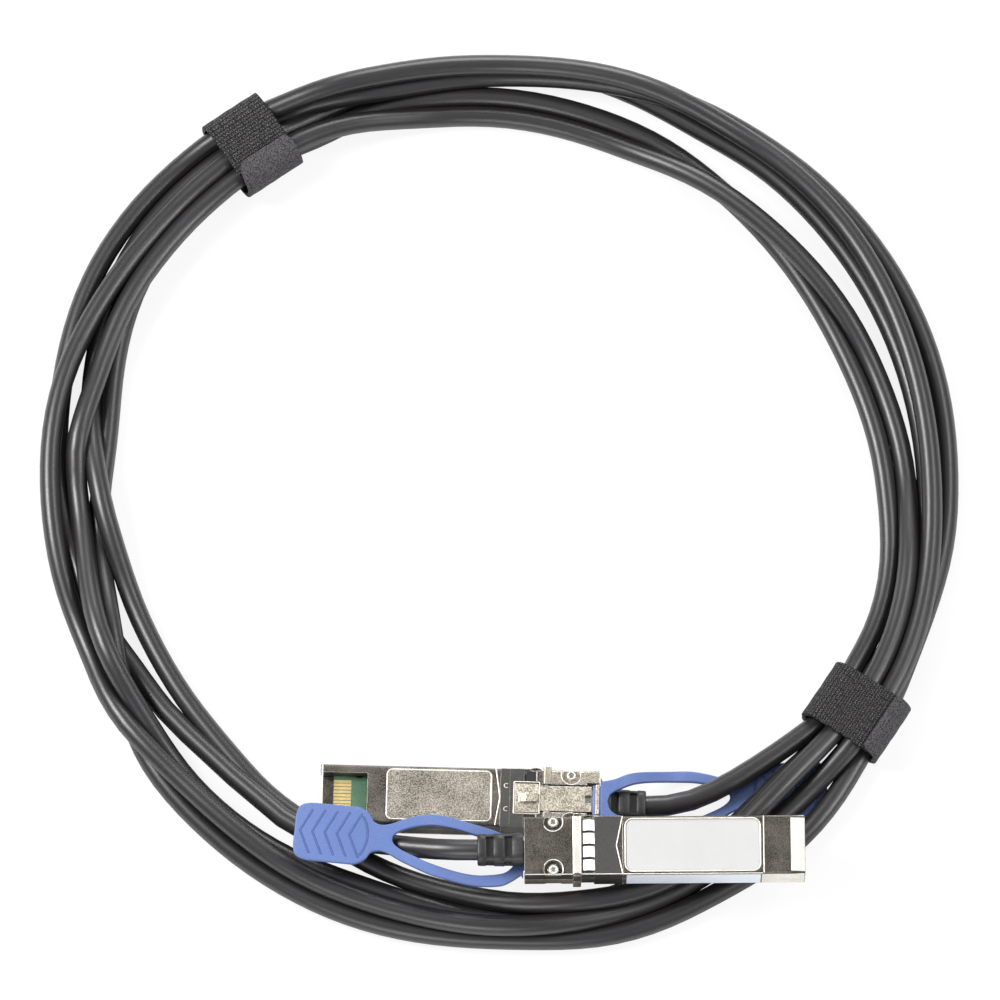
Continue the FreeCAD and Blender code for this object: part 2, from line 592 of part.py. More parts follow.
def shield_collar(name):
    """Sheet metal collar round both shells, with spring fingers on all four sides."""
    body = new_body(name)
    outer = "plug_width / 2"
    inner = "( plug_width / 2 - collar_thick )"
    section = sketch_on(body, "section", "YZ_Plane", "collar_start")
    rectangle(section, f"-{outer}", outer, "0", "plug_height")
    rectangle(section, f"-{inner}", inner, "collar_thick", "plug_height - collar_thick")
    pad(body, "band", section, "finger_start - collar_start")
    for side, level in (("latch", "-1"), ("label", "plug_height - 1")):
        point = sketch_on(body, f"point_outline_{side}", "XY_Plane", level)
        polygon(point, [("collar_start - 1", f"-{inner}"), ("collar_start", f"-{inner}"),
                        ("collar_start + collar_point", "0"), ("collar_start", inner),
                        ("collar_start - 1", inner)])
        pocket(body, f"point_{side}", point, "2", reverse=True)
    head_half = "( latch_head_half_width + latch_gap )"
    block(body, "latch_opening", "latch_start - latch_gap", "finger_start + 1", f"-{head_half}",
          head_half, "-1", "1", cut=True)
    block(body, "latch_band_cut", "latch_band_end", "finger_start + 1", f"-{inner}", inner, "-1",
          "collar_thick", cut=True)
    block(body, "slit", "collar_start - 1", "latch_start", "-collar_slit / 2", "collar_slit / 2",
          "-1", "collar_thick + 0.1", cut=True)
    for side in ("-", ""):
        stamped_mark(body, side)
    for number, place in enumerate((-1.5, -0.5, 0.5, 1.5)):
        finger(body, f"label_finger_{number}", "XZ_Plane", "plug_height", "1", place)
    for side, sign in (("left", "-1"), ("right", "1")):
        for number, place in enumerate((0.72, 2.05)):
            finger(body, f"{side}_finger_{number}", "XY_Plane", f"( {sign} ) * {outer}", sign, place)
    return body


def stamped_mark(body, side):
    """A C-shaped mark cut through the collar beside its slit."""
    name = "left" if side else "right"
    low = "( latch_band_end - mark_size - mark_stroke )"
    high = f"( {low} + mark_size )"
    inner_y = f"{side}( mark_offset - mark_size / 2 )"
    outer_y = f"{side}( mark_offset + mark_size / 2 )"
    inner_line = f"{side}( mark_offset - mark_size / 2 + mark_stroke )"
    outer_line = f"{side}( mark_offset + mark_size / 2 - mark_stroke )"
    mark = sketch_on(body, f"mark_outline_{name}", "XY_Plane", "-1")
    polygon(mark, [(low, inner_y), (high, inner_y), (high, outer_y), (low, outer_y),
                   (low, outer_line), (f"{high} - mark_stroke", outer_line),
                   (f"{high} - mark_stroke", inner_line), (low, inner_line)])
    pocket(body, f"mark_{name}", mark, "2", reverse=True)


def circuit_board(name):
    """Board with a key notch in each side, resting on the base shell's ledges."""
    body = new_body(name)
    half = "( plug_width / 2 - shell_wall - board_gap )"
    low = "parting_height - board_thick"
    block(body, "blank", "board_start", "board_end", f"-{half}", half, low, "parting_height")
    for side, low_y, high_y in (("left", f"-{half} - 1", f"-{half} + key_depth"),
                                ("right", f"{half} - key_depth", f"{half} + 1")):
        block(body, f"key_{side}", "board_start + pad_length + 1.2",
              "board_start + pad_length + 1.2 + key_length", low_y, high_y, "0",
              "plug_height", cut=True)
    return body


def plain_group(name, pieces):
    """Separate equal solids that share one node."""
    group = doc.addObject("Part::Compound", name)
    group.Label = name
    group.Links = pieces
    NODES.append(group)
    return group


def contact_pads(name):
    """Ten gilded pads on each face of the board's front edge."""
    pads = []
    for face, level in (("under", "parting_height - board_thick - pad_thick"),
                        ("over", "parting_height")):
        for number in range(PAD_COUNT):
            place = number - (PAD_COUNT - 1) / 2
            piece = doc.addObject("Part::Box", f"{name}_{face}_{number}")
            piece.setExpression("Length", linked("pad_length"))
            piece.setExpression("Width", linked("pad_width"))
            piece.setExpression("Height", linked("pad_thick"))
            piece.setExpression("Placement.Base.x", linked("board_start + pad_setback"))
            piece.setExpression("Placement.Base.y", linked(f"{place} * pad_pitch - pad_width / 2"))
            piece.setExpression("Placement.Base.z", linked(level))
            pads.append(piece)
    return plain_group(name, pads)


def latch_lever(name):
    """Rocking lever: catching boss at the nose end, lifting lip at the tail end."""
    body = new_body(name)
    low = "latch_level"
    high = "latch_level + latch_thick"
    half = "latch_half_width"
    block(body, "blade", "latch_start", "latch_end", f"-{half}", half, low, high)
    block(body, "nose_end", "latch_start", "latch_head_end", "-latch_head_half_width",
          "latch_head_half_width", low, high)
    boss = sketch_on(body, "boss_outline", "XZ_Plane")
    polygon(boss, [("boss_start", f"{low} + 0.2"), ("boss_crest", f"{low} - boss_rise"),
                   ("boss_end", f"{low} - boss_rise"), ("boss_end", f"{low} + 0.2")])
    pad(body, "boss", boss, "boss_width", symmetric=True)
    knuckle = sketch_on(body, "knuckle_outline", "XZ_Plane")
    circle(knuckle, "pivot_place", "pivot_height", "knuckle_radius")
    pad(body, "knuckle", knuckle, f"2 * {half}", symmetric=True)
    bore = sketch_on(body, "bore_outline", "XZ_Plane")
    circle(bore, "pivot_place", "pivot_height", "pivot_radius + pivot_clearance")
    pocket(body, "bore", bore, f"2 * {half} + 2", symmetric=True)
    block(body, "lip_recess", "lip_recess_start", "lip_place", "-slide_half_width - 0.2",
          "slide_half_width + 0.2", f"{high} - lip_recess", f"{high} + 1", cut=True)
    block(body, "tail_notch", "latch_end - notch_length", "latch_end + 1", "-notch_width / 2",
          "notch_width / 2", "-1", f"{high} + 1", cut=True)
    return body


def round_bar(name, centre, axis, radius, length):
    """A plain round bar from a centre given as expressions."""
    bar = doc.addObject("Part::Cylinder", name)
    bar.setExpression("Radius", linked(radius))
    bar.setExpression("Height", linked(length))
    if axis == "y":
        bar.Placement.Rotation = Rotation(Vector(1, 0, 0), -90)
    elif axis == "x":
        bar.Placement.Rotation = Rotation(Vector(0, 1, 0), 90)
    for letter, expression in zip("xyz", centre):
        bar.setExpression(f"Placement.Base.{letter}", linked(expression))
    return bar


def latch_pin(name):
    """Pin that the lever rocks on, held in the base shell's sides."""
    reach = "( latch_half_width + latch_gap + pin_seat )"
    bar = round_bar(f"{name}_bar", ("pivot_place", f"-{reach}", "pivot_height"), "y",
                    "pivot_radius", f"2 * {reach}")
    return plain_group(name, [bar])


def release_slide(name):
    """Steel slide under the lever, with the wedge that lifts the lever's lip."""
    body = new_body(name)
    block(body, "plate", "slide_start", "plug_length - 0.2", "-slide_half_width",
          "slide_half_width", "slide_level", "slide_level + slide_thick")
    wedge = sketch_on(body, "wedge_outline", "XZ_Plane")
    polygon(wedge, [("wedge_start", "slide_level + 0.1"),
                    ("wedge_start", "slide_level - wedge_rise"),
                    ("wedge_start + wedge_crest", "slide_level - wedge_rise"),
                    ("wedge_start + wedge_crest + wedge_ramp", "slide_level + 0.1")])
    pad(body, "wedge", wedge, "2 * slide_half_width - 0.6", symmetric=True)
    return body


def latch_spring(name):
    """Folded leaf spring that presses the lever's boss out of the latch face."""
    body = new_body(name)
    low = "( latch_level + latch_thick )"
    high = "( latch_pocket_depth + spring_well_depth )"
    fold = f"( {low} + {high} ) / 2"
    free = "spring_place - spring_half_length"
    bend = "spring_place + spring_half_length"
    profile = sketch_on(body, "profile", "XZ_Plane")
    polygon(profile, [(free, low), (bend, f"{fold} - spring_thick"), (bend, f"{fold} + spring_thick"),
                      (free, high), (free, f"{high} - spring_thick"),
                      (f"{bend} - 2 * spring_thick", fold), (free, f"{low} + spring_thick")])
    pad(body, "leaf", profile, "2 * spring_half_width", symmetric=True)
    return body


def cover_screws(name):
    """Two screws that hold the shells together, each with its drive socket."""
    screws = []
    seat = "plug_height - counterbore_depth"
    for side in ("left", "right"):
        sign = "-" if side == "left" else ""
        place = ("screw_place", f"{sign}screw_offset")
        shank = round_bar(f"{name}_{side}_shank", (*place, "counterbore_depth + 0.15"), "z",
                          "screw_radius", f"{seat} - counterbore_depth - 0.05")
        head = round_bar(f"{name}_{side}_head", (*place, seat), "z", "screw_head_radius",
                         "screw_head_height")
        socket = round_bar(f"{name}_{side}_socket",
                           (*place, f"{seat} + screw_head_height - socket_depth"), "z",
                           "socket_radius", "socket_depth + 1")
        whole = doc.addObject("Part::Fuse", f"{name}_{side}_whole")
        whole.Base = shank
        whole.Tool = head
        screw = doc.addObject("Part::Cut", f"{name}_{side}")
        screw.Base = whole
        screw.Tool = socket
        screws.append(screw)
    return plain_group(name, screws)


def crimp_ferrule(name):
    """Crimped tube that grips the cable's screen inside the head."""
    body = new_body(name)
    end = "plug_length - tail_wall - boot_flange - 0.1"
    section = sketch_on(body, "section", "YZ_Plane", f"{end} - ferrule_length")
    circle(section, "0", "cable_height", "ferrule_radius")
    circle(section, "0", "cable_height", "ferrule_bore")
    pad(body, "tube", section, "ferrule_length")
    return body


def conductors(name):
    """Four insulated conductors from the ferrule to the board."""
    wires = []
    start = "board_end - wire_overlap"
    end = "plug_length - tail_wall - boot_flange - 0.15"
    for number in range(WIRE_COUNT):
        place = number - (WIRE_COUNT - 1) / 2
        wires.append(round_bar(f"{name}_{number}", (start, f"{place} * wire_pitch",
                     "parting_height + wire_radius + 0.02"), "x", "wire_radius",
                     f"{end} - ( {start} )"))
    return plain_group(name, wires)


def strain_relief(name):
    """Moulded boot: flange inside the head, neck in the end wall, slotted body outside."""
    body = new_body(name)
    flange_end = "plug_length - tail_wall - 0.05"
    flange = sketch_on(body, "flange_outline", "YZ_Plane", f"{flange_end} - boot_flange + 0.05")
    rectangle(flange, "-head_cavity_half_width + 0.1", "head_cavity_half_width - 0.1",
              "cable_height - ferrule_radius", "cable_height + ferrule_radius")
    pad(body, "flange", flange, "boot_flange - 0.05")
    neck = sketch_on(body, "neck_outline", "YZ_Plane", flange_end)
    rectangle(neck, "-neck_width / 2", "neck_width / 2", "cable_height - neck_height / 2",
              "cable_height + neck_height / 2")
    pad(body, "neck", neck, "tail_wall + 0.05 + boot_start_gap")
    front = sketch_on(body, "boot_front", "YZ_Plane", "plug_length + boot_start_gap")
    rounded_rectangle(front, "boot_width / 2", "boot_height / 2", "cable_height", "boot_round")
    back = sketch_on(body, "boot_back", "YZ_Plane", "plug_length + boot_start_gap + boot_length")
    rounded_rectangle(back, "boot_end_width / 2", "boot_end_height / 2", "cable_height", "boot_round")
    boot = body.newObject("PartDesign::AdditiveLoft", "boot")
    boot.Profile = front
    boot.Sections = [back]
    boot.Ruled = True
    for ring, offset in (("first", "slot_first"), ("second", "slot_second")):
        start = f"plug_length + {offset}"
        end = f"{start} + slot_length"
        web = "cable_height - slot_web", "cable_height + slot_web"
        half = "boot_width / 2"
        block(body, f"{ring}_slot_left", start, end, f"-{half} - 1", f"-{half} + slot_side_depth",
              *web, cut=True)
        block(body, f"{ring}_slot_right", start, end, f"{half} - slot_side_depth", f"{half} + 1",
              *web, cut=True)
        block(body, f"{ring}_slot_under", start, end, "-slot_web - 0.3", "slot_web + 0.3",
              "-1", "cable_height - boot_height / 2 + slot_face_depth", cut=True)
        block(body, f"{ring}_slot_over", start, end, "-slot_web - 0.3", "slot_web + 0.3",
              "cable_height + boot_height / 2 - slot_face_depth", "plug_height + 2", cut=True)
    entry = sketch_on(body, "cable_entry_outline", "YZ_Plane",
                      "plug_length + boot_start_gap + boot_length - boot_recess")
    circle(entry, "0", "cable_height", "cable_radius + 0.03")
    pocket(body, "cable_entry", entry, "boot_recess + 1", reverse=True)
    return body


def arc_through(first, middle, last):
    return Part.Arc(Vector(*first, 0), Vector(*middle, 0), Vector(*last, 0)).toShape()


def straight(first, last):
    return Part.LineSegment(Vector(*first, 0), Vector(*last, 0)).toShape()


def tab_outline():
    """Plan of the pull tab as a face, with its loop open, measured from the shells' tail."""
    bar = size("tab_bar_half_width")
    gap = size("tab_gap")
    inside = gap + size("tab_bar")
    bulge = size("loop_bulge_place")
    loop = size("loop_half_width")
    strand = size("loop_strand")
    neck = (size("neck_place"), size("neck_half_width"))
    shoulder = size("paddle_start") + size("paddle_round")
    half = size("paddle_half_width")
    end = size("paddle_end")
    upper = [straight((gap, -bar), (gap, bar)), arc_through((gap, bar), (bulge, loop), neck),
             straight(neck, (size("paddle_start"), half - size("paddle_round"))),
             arc_through((size("paddle_start"), half - size("paddle_round")),
                         (size("paddle_start") + 0.3 * size("paddle_round"), half - 0.3 * size("paddle_round")),
                         (shoulder, half)),
             straight((shoulder, half), (end - size("paddle_round"), half))]
    corner = size("paddle_round")
    upper += [arc_through((end - corner, half), (end - 0.293 * corner, half - 0.293 * corner),
                          (end, half - corner))]
    mirrored = [edge.mirror(Vector(0, 0, 0), Vector(0, 1, 0)) for edge in upper[1:]]
    closing = straight((end, half - corner), (end, corner - half))
    outer = Part.Wire(Part.__sortEdges__(upper + mirrored + [closing]))
    inner_edges = []
    for sign in (1, -1):
        inner_edges.append(arc_through((inside, sign * (bar - strand)), (bulge, sign * (loop - strand)),
                                       (size("loop_end"), 0)))
    inner_edges.append(straight((inside, bar - strand), (inside, strand - bar)))
    inner = Part.Wire(Part.__sortEdges__(inner_edges))
    return Part.Face(outer).cut(Part.Face(inner))


def tab_side_profile(drop, start, stop):
    """Side view of the tab as a face in the xz plane, with a slope from one level to another."""
    level = size("tab_level")
    thick = size("tab_thick")
    root = -size("tab_root") - 1
    end = size("paddle_end") + 1
    lower = [Vector(root, 0, level), Vector(start, 0, level), Vector(stop, 0, level + drop),
             Vector(end, 0, level + drop)]
    upper = [point + Vector(0, 0, thick) for point in reversed(lower)]
    corners = lower + upper
    return Part.Face(Part.makePolygon(corners + corners[:1]))


def pull_tab(name, drop, start, stop, turn):
    """Moulded pull tab: root in the shell, open loop round the boot, grooved paddle."""
    half = size("tab_root_half_width")
    deep = 60
    plan = tab_outline().extrude(Vector(0, 0, deep))
    plan.translate(Vector(0, 0, -deep / 2))
    plan.rotate(Vector(0, 0, 0), Vector(0, 0, 1), turn)
    root = Part.makeBox(size("tab_root + tab_gap") + 0.5, 2 * half, deep,
                        Vector(-size("tab_root"), -half, -deep / 2))
    band = tab_side_profile(drop, start, stop)
    band.translate(Vector(0, -deep, 0))
    band = band.extrude(Vector(0, 2 * deep, 0))
    shape = plan.fuse(root).common(band)
    slot_half = size("slide_half_width") + 0.03
    slot = Part.makeBox(size("tab_root") + 0.85, 2 * slot_half, 5,
                        Vector(-size("tab_root") - 1, -slot_half, size("slide_level") - 0.03))
    shape = shape.cut(slot)
    for number in range(GROOVE_COUNT):
        place = size("groove_first") + number * size("groove_pitch")
        shape = shape.cut(groove(place, turn, drop))
    shape = shape.cut(sunk_into_face(crescent(), turn, drop))
    shape.translate(Vector(size("plug_length"), 0, 0))
    tab = doc.addObject("Part::Feature", name)
    tab.Label = name
    tab.Shape = shape.removeSplitter()
    NODES.append(tab)
    return tab


def groove(place, turn, drop):
    """One chevron groove across the face of the paddle that ends up on top."""
    half = size("groove_half_width")
    lean = size("groove_lean")
    wide = size("groove_width")
    corners = [(place + lean, -half), (place + lean + wide, -half), (place + wide, 0),
               (place + lean + wide, half), (place + lean, half), (place, 0)]
    corners = [(2 * place + lean - x, y) for x, y in corners]
    outline = Part.makePolygon([Vector(x, y, 0) for x, y in corners + corners[:1]])
    return sunk_into_face(Part.Face(outline), turn, drop)


def crescent():
    """Face of the crescent groove where the strap widens into the paddle."""
    start = size("paddle_start") + size("crescent_place")
    half = size("crescent_half_length")
    inner = start - size("crescent_bulge")
    outer = inner + size("crescent_width")
    return Part.Face(Part.Wire([arc_through((start, -half), (inner, 0), (start, half)),
                                arc_through((start, half), (outer, 0), (start, -half))]))


def sunk_into_face(face, turn, drop):
    """Cutter of the grooves' depth under a face of the tab's plan."""
    cutter = face.extrude(Vector(0, 0, 2))
    level = size("tab_level") + drop
    depth = size("groove_depth")
    lying_over = drop > size("plug_height") / 2
    base = level - 2 + depth if lying_over else level + size("tab_thick") - depth
    cutter.translate(Vector(0, 0, base))
    cutter.rotate(Vector(0, 0, 0), Vector(0, 0, 1), turn)
    return cutter


def label_plate(name, side):
    """Blank label: in the recess of the top shell, or on the side of the shells."""
    body = new_body(name)
    start = "label_start + label_gap"
    end = f"{start} + label_length"
    if side:
        low = "parting_height - side_label_height / 2"
        block(body, "plate", start, end, "plug_width / 2", "plug_width / 2 + label_thick", low,
              f"{low} + side_label_height")
        return body
    low = "plug_height - label_depth"
    block(body, "plate", start, end, "-label_width / 2", "label_width / 2", low,
          f"{low} + label_thick")
    rounded(body, "corners", "label_round - label_gap", lambda edge: along(edge, ALONG_Z))
    return body


def plug_end(prefix, tab_slope, labels):
    """All the pieces of one plug, in its own frame."""
    pieces = [
        base_shell(f"{prefix}_base_shell"), top_shell(f"{prefix}_top_shell"),
        shield_collar(f"{prefix}_shield_collar"), circuit_board(f"{prefix}_circuit_board"),
        contact_pads(f"{prefix}_contact_pads"), latch_lever(f"{prefix}_latch_lever"),
        latch_pin(f"{prefix}_latch_pin"), release_slide(f"{prefix}_release_slide"),
        latch_spring(f"{prefix}_latch_spring"), cover_screws(f"{prefix}_cover_screws"),
        crimp_ferrule(f"{prefix}_crimp_ferrule"), conductors(f"{prefix}_conductors"),
        strain_relief(f"{prefix}_strain_relief"), pull_tab(f"{prefix}_pull_tab", *tab_slope)]
    if labels:
        pieces += [label_plate(f"{prefix}_top_label", False),
                   label_plate(f"{prefix}_side_label", True)]
    return pieces


def lay(pieces, rotation, place):
    """Turns the pieces of a plug and binds their place on the surface to the sheet."""
    for piece in pieces:
        piece.Placement = Placement(Vector(*(size(item) for item in place)), rotation)
        for letter, expression in zip("xyz", place):
            piece.setExpression(f"Placement.Base.{letter}", linked(expression))


def cable_tube(name, points):
    """Cable along straight runs joined by tangent arcs as large as the runs allow."""
    edges = []
    last = points[0]
    expected = 0.0
    for before, corner, after in zip(points, points[1:], points[2:]):
        arriving = (corner - before).normalize()
        leaving = (after - corner).normalize()
        half_turn = arriving.getAngle(leaving) / 2
        reach = 0.45 * min(corner.distanceToPoint(before), corner.distanceToPoint(after))
        radius = reach / math.tan(half_turn)
        start = corner - arriving * reach
        stop = corner + leaving * reach
        towards = (leaving - arriving).normalize()
        middle = corner + towards * (radius / math.cos(half_turn) - radius)
        edges.append(Part.LineSegment(last, start).toShape())
        edges.append(Part.Arc(start, middle, stop).toShape())
        expected += last.distanceToPoint(start) + 2 * radius * half_turn
        last = stop
        print(f"{name} radius {radius:.1f} mm")
    edges.append(Part.LineSegment(last, points[-1]).toShape())
    expected += last.distanceToPoint(points[-1])
    route = Part.Wire(edges)
    radius = size("cable_radius")
    section = Part.Wire([Part.Circle(points[0], points[1] - points[0], radius).toShape()])
    tube = route.makePipeShell([section], True, False)
    share = tube.Volume / (math.pi * radius ** 2 * expected)
    print(f"{name} length {expected:.1f} mm, volume over section times length {share:.4f}")
    cable = doc.addObject("Part::Feature", name)
    cable.Label = name
    cable.Shape = tube
    NODES.append(cable)
    return cable


def coil_outline(reaches, shift, level):
    """Closed outline at a level through reaches from the middle, evenly spaced in direction."""
    step = 2 * math.pi / len(reaches)
    points = [Vector((reach + shift) * math.cos(number * step),
                     (reach + shift) * math.sin(number * step), level)
              for number, reach in enumerate(reaches)]
    curve = Part.BSplineCurve()
    curve.interpolate(points, PeriodicFlag=True)
    sides = curve.discretize(COIL_SIDES + 1)[:-1]
    return Part.makePolygon(sides + sides[:1])


def coil_wall(reaches, bevel):
    """Solid up to the coil's height inside its reaches, with bevelled or flared rims."""
    height = size("coil_height")
    levels = [(bevel, 0), (0, size("coil_round")), (0, height - size("coil_round")), (bevel, height)]
    return Part.makeLoft([coil_outline(reaches, *level) for level in levels], True, True)


def tie_place(which):
    """Placement of a tie: x along the coil, y outwards and z up."""
    angle = math.radians(size(f"{which}_tie_angle"))
    reach = size(f"{which}_tie_radius")
    place = Vector(size("coil_x") + reach * math.cos(angle),
                   size("coil_y") + reach * math.sin(angle), 0)
    return Placement(place, Rotation(Vector(0, 0, 1), math.degrees(angle) - 90))


def rounded_block(length, width, height, radius, level):
    """Block along x with its four long edges rounded."""
    whole = Part.makeBox(length, width, height, Vector(-length / 2, -width / 2, level))
    edges = [edge for edge in whole.Edges if along(edge, ALONG_X)]
    return whole.makeFillet(radius, edges)


def cable_coil(name, rear_placement):
    """Outer shape of the coiled turns, squeezed inside the ties and hollow over the rear tab."""
    outer = [size(f"coil_outer_{number}") for number in range(len(COIL_OUTER))]
    inner = [size(f"coil_inner_{number}") for number in range(len(COIL_INNER))]
    bevel = size("coil_bevel")
    height = size("coil_height")
    ring = coil_wall(outer, -bevel).cut(coil_wall(inner, bevel))
    ring.translate(Vector(size("coil_x"), size("coil_y"), 0))
    for which in ("upper", "lower"):
        length = size("tie_width + 2 * tie_gap")
        around = Part.makeBox(length, 6 * height, 3 * height, Vector(-length / 2, -3 * height, -height))
        core = rounded_block(length, size(f"{which}_tie_core"), size("tie_core_height"),
                             size("tie_round"), size("tie_thick + tie_gap"))
        around = around.cut(core)
        around.Placement = tie_place(which)
        ring = ring.cut(around)
    gap = size("tab_pocket_gap")
    length = size("paddle_end + release_travel - loop_end") + 2 * gap
    width = 2 * (size("paddle_half_width") + gap)
    hollow = Part.makeBox(length, width, 3 * height, Vector(size("loop_end") - gap, -width / 2,
                          size("plug_height + finger_rise - tab_pocket_height")))
    hollow.rotate(Vector(0, 0, 0), Vector(0, 0, 1), size("rear_tab_turn"))
    hollow.translate(Vector(size("plug_length"), 0, 0))
    hollow.Placement = rear_placement.multiply(hollow.Placement)
    ring = ring.cut(hollow)
    coil = doc.addObject("Part::Feature", name)
    coil.Label = name
    coil.Shape = ring
    NODES.append(coil)
    return coil


def hook_and_loop_tie(name, which, tail_low, tail_high):
    """Strap wrapped round the coil, with its overlapping tail on top."""
    width = size("tie_width")
    thick = size("tie_thick")
    gap = size("tie_gap")
    core = size(f"{which}_tie_core")
    opening = rounded_block(width + 2, core + 2 * gap, size("tie_core_height") + 2 * gap,
                            size("tie_round") + gap, thick)
    height = size("tie_core_height") + 2 * gap + 2 * thick
    band = rounded_block(width, core + 2 * (gap + thick), height, size("tie_round") + gap + thick, 0)
    band = band.cut(opening)
    half = core / 2 + gap + thick
    tail = Part.makeBox(width, half * (tail_high - tail_low), size("tie_tail_thick") + thick / 2,
                        Vector(-width / 2, half * tail_low, height - thick / 2))
    corners = [edge for edge in tail.Edges if along(edge, ALONG_Z)]
    tail = tail.makeFillet(size("tie_tail_round"), corners)
    tie = doc.addObject("Part::Feature", name)
    tie.Label = name
    tie.Shape = band.fuse(tail).cut(opening).removeSplitter()
    tie.Placement = tie_place(which)
    NODES.append(tie)
    return tie


rear_drop = size("plug_height + finger_rise - floor_gap - tab_thick - tab_level")
rear = plug_end("rear", (rear_drop, size("rear_drop_start"), size("rear_drop_end"),
                         size("rear_tab_turn")), labels=False)
front = plug_end("front", (size("front_rise"), size("front_rise_start"), size("front_rise_end"),
                           size("front_tab_turn")), labels=True)
rear_rotation = Rotation(Vector(0, 0, 1), size("rear_turn")).multiply(Rotation(Vector(1, 0, 0), 180))
front_rotation = Rotation(Vector(0, 0, 1), size("front_turn"))
lay(rear, rear_rotation, ("coil_x + rear_nose_x", "coil_y + rear_nose_y", "plug_height + finger_rise"))
lay(front, front_rotation, ("coil_x + front_nose_x", "coil_y + front_nose_y", "front_level"))

middle = Vector(size("coil_x"), size("coil_y"), 0)
exit_place = Vector(size("plug_length + boot_start_gap + boot_length - boot_recess") + 0.05, 0,
                    size("cable_height"))
rear_exit = rear[0].Placement.multVec(exit_place)
front_exit = front[0].Placement.multVec(exit_place)
rear_run = rear[0].Placement.multVec(exit_place + Vector(size("lead_straight"), 0, 0))
front_run = front[0].Placement.multVec(exit_place + Vector(size("lead_straight"), 0, 0))
cable_tube("cable_lead_rear",
           [rear_exit, rear_run] + [middle + Vector(*point) for point in REAR_LEAD])
cable_tube("cable_lead_front",
           [front_exit, front_run] + [middle + Vector(*point) for point in FRONT_LEAD])
cable_coil("cable_coil", rear[0].Placement)
hook_and_loop_tie("upper_left_tie", "upper", -0.82, 0.02)
hook_and_loop_tie("lower_right_tie", "lower", -0.5, 0.72)

doc.recompute()
for item in doc.Objects:
    if "Invalid" in item.State or "Error" in item.State:
        raise RuntimeError(f"{item.Label} is {item.State}")
for node in NODES:
    if node.Shape.isNull() or not node.Shape.isValid():
        raise RuntimeError(f"{node.Label} has no valid shape")
os.makedirs("parts", exist_ok=True)
for node in NODES:
    node.Shape.exportStep(f"parts/{node.Label}.step")
    print(f"{node.Label}: {len(node.Shape.Solids)} solids, {node.Shape.Volume:.1f} mm3")
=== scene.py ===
"""Looks of a direct attach copper cable: cord, ties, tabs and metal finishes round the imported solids."""
import json
import math

import bmesh
import bpy
import numpy as np
from mathutils import Matrix, Vector
from mathutils.bvhtree import BVHTree


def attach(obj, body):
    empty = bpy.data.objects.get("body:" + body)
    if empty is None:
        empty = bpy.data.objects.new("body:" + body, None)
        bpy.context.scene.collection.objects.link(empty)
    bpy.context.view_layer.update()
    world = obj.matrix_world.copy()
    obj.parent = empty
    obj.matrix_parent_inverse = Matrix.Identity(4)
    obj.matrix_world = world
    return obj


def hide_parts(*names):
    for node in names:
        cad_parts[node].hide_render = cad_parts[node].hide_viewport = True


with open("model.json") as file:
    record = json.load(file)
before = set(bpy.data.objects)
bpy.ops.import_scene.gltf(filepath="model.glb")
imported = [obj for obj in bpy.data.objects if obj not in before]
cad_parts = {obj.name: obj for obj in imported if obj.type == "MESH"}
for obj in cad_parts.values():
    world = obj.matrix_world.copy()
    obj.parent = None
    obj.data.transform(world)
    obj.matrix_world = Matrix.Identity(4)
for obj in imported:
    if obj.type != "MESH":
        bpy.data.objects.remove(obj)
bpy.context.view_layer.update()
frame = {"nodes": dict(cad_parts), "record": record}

bl_info = {
    "name": "Direct attach cable dresser",
    "version": (1, 0, 0),
    "blender": (4, 5, 0),
    "location": "3D View > Sidebar > Cable",
    "description": "Lays the cord and finishes the plugs, tabs and ties of a direct attach cable",
    "category": "Object",
}

MM = 0.001
CAMERA_ELEVATION = math.radians(73.0)
COIL_MIDDLE = Vector((-13.8, 77.9, 0.0))
AIM_SHIFT = -0.6

# Where the cord leaves each boot and runs to the coil, from the middle of the coil in millimetres
REAR_EXIT = ((30.7, -73.6, 4.0), (38.2, -73.8, 4.0))
FRONT_EXIT = ((-3.1, -86.7, 15.35), (-10.6, -86.75, 15.35))
REAR_LEAD = ((47.5, -70.6, 4.6), (57.5, -64.6, 4.9), (66.5, -58.2, 4.8), (73.0, -53.1, 4.8))
FRONT_LEAD = ((-18.2, -85.2, 11.6), (-28.0, -83.0, 7.6), (-37.5, -81.9, 5.6), (-46.5, -79.0, 4.8))

# Reach of each turn in the photograph from the middle of the coil, in millimetres, every 15
# degrees from the first direction on
TURN_STEP = 15
FIRST_DIRECTION = 330
TURN_REACH = (
    (88.5, 89.7, 88.1, 86.4, 85.0, 85.3, 86.8, 89.1, 91.3, 93.2, 94.8, 95.7,
     95.7, 92.2, 90.7, 91.7, 95.4, 98.6, 99.3, 98.6, 98.4, 99.4, 100.8, 100.3),
    (98.9, 98.6, 101.0, 102.6, 102.6, 101.4, 99.5, 97.9, 97.3, 96.6, 99.1, 101.1,
     99.8, 95.2, 90.4, 86.3, 84.0, 83.7, 84.6, 87.8, 90.7, 93.1, 92.3, 89.9),
    (92.8, 94.3, 92.5, 89.7, 88.1, 86.4, 86.0, 86.3, 88.1, 90.7, 93.7, 95.9,
     95.7, 95.1, 94.8, 94.7, 94.8, 94.7, 93.7, 92.5, 93.4, 93.9, 91.6, 89.4),
    (92.1, 95.5, 96.5, 96.7, 96.8, 96.8, 97.1, 97.1, 97.2, 96.5, 96.6, 97.5,
     100.0, 102.5, 101.2, 98.6, 96.0, 94.9, 94.7, 95.0, 95.9, 95.7, 94.8, 94.7),
    (97.5, 98.1, 97.4, 98.0, 99.1, 99.8, 99.7, 99.1, 98.8, 99.4, 101.6, 104.3,
     105.5, 102.6, 99.5, 95.1, 90.0, 86.4),
)
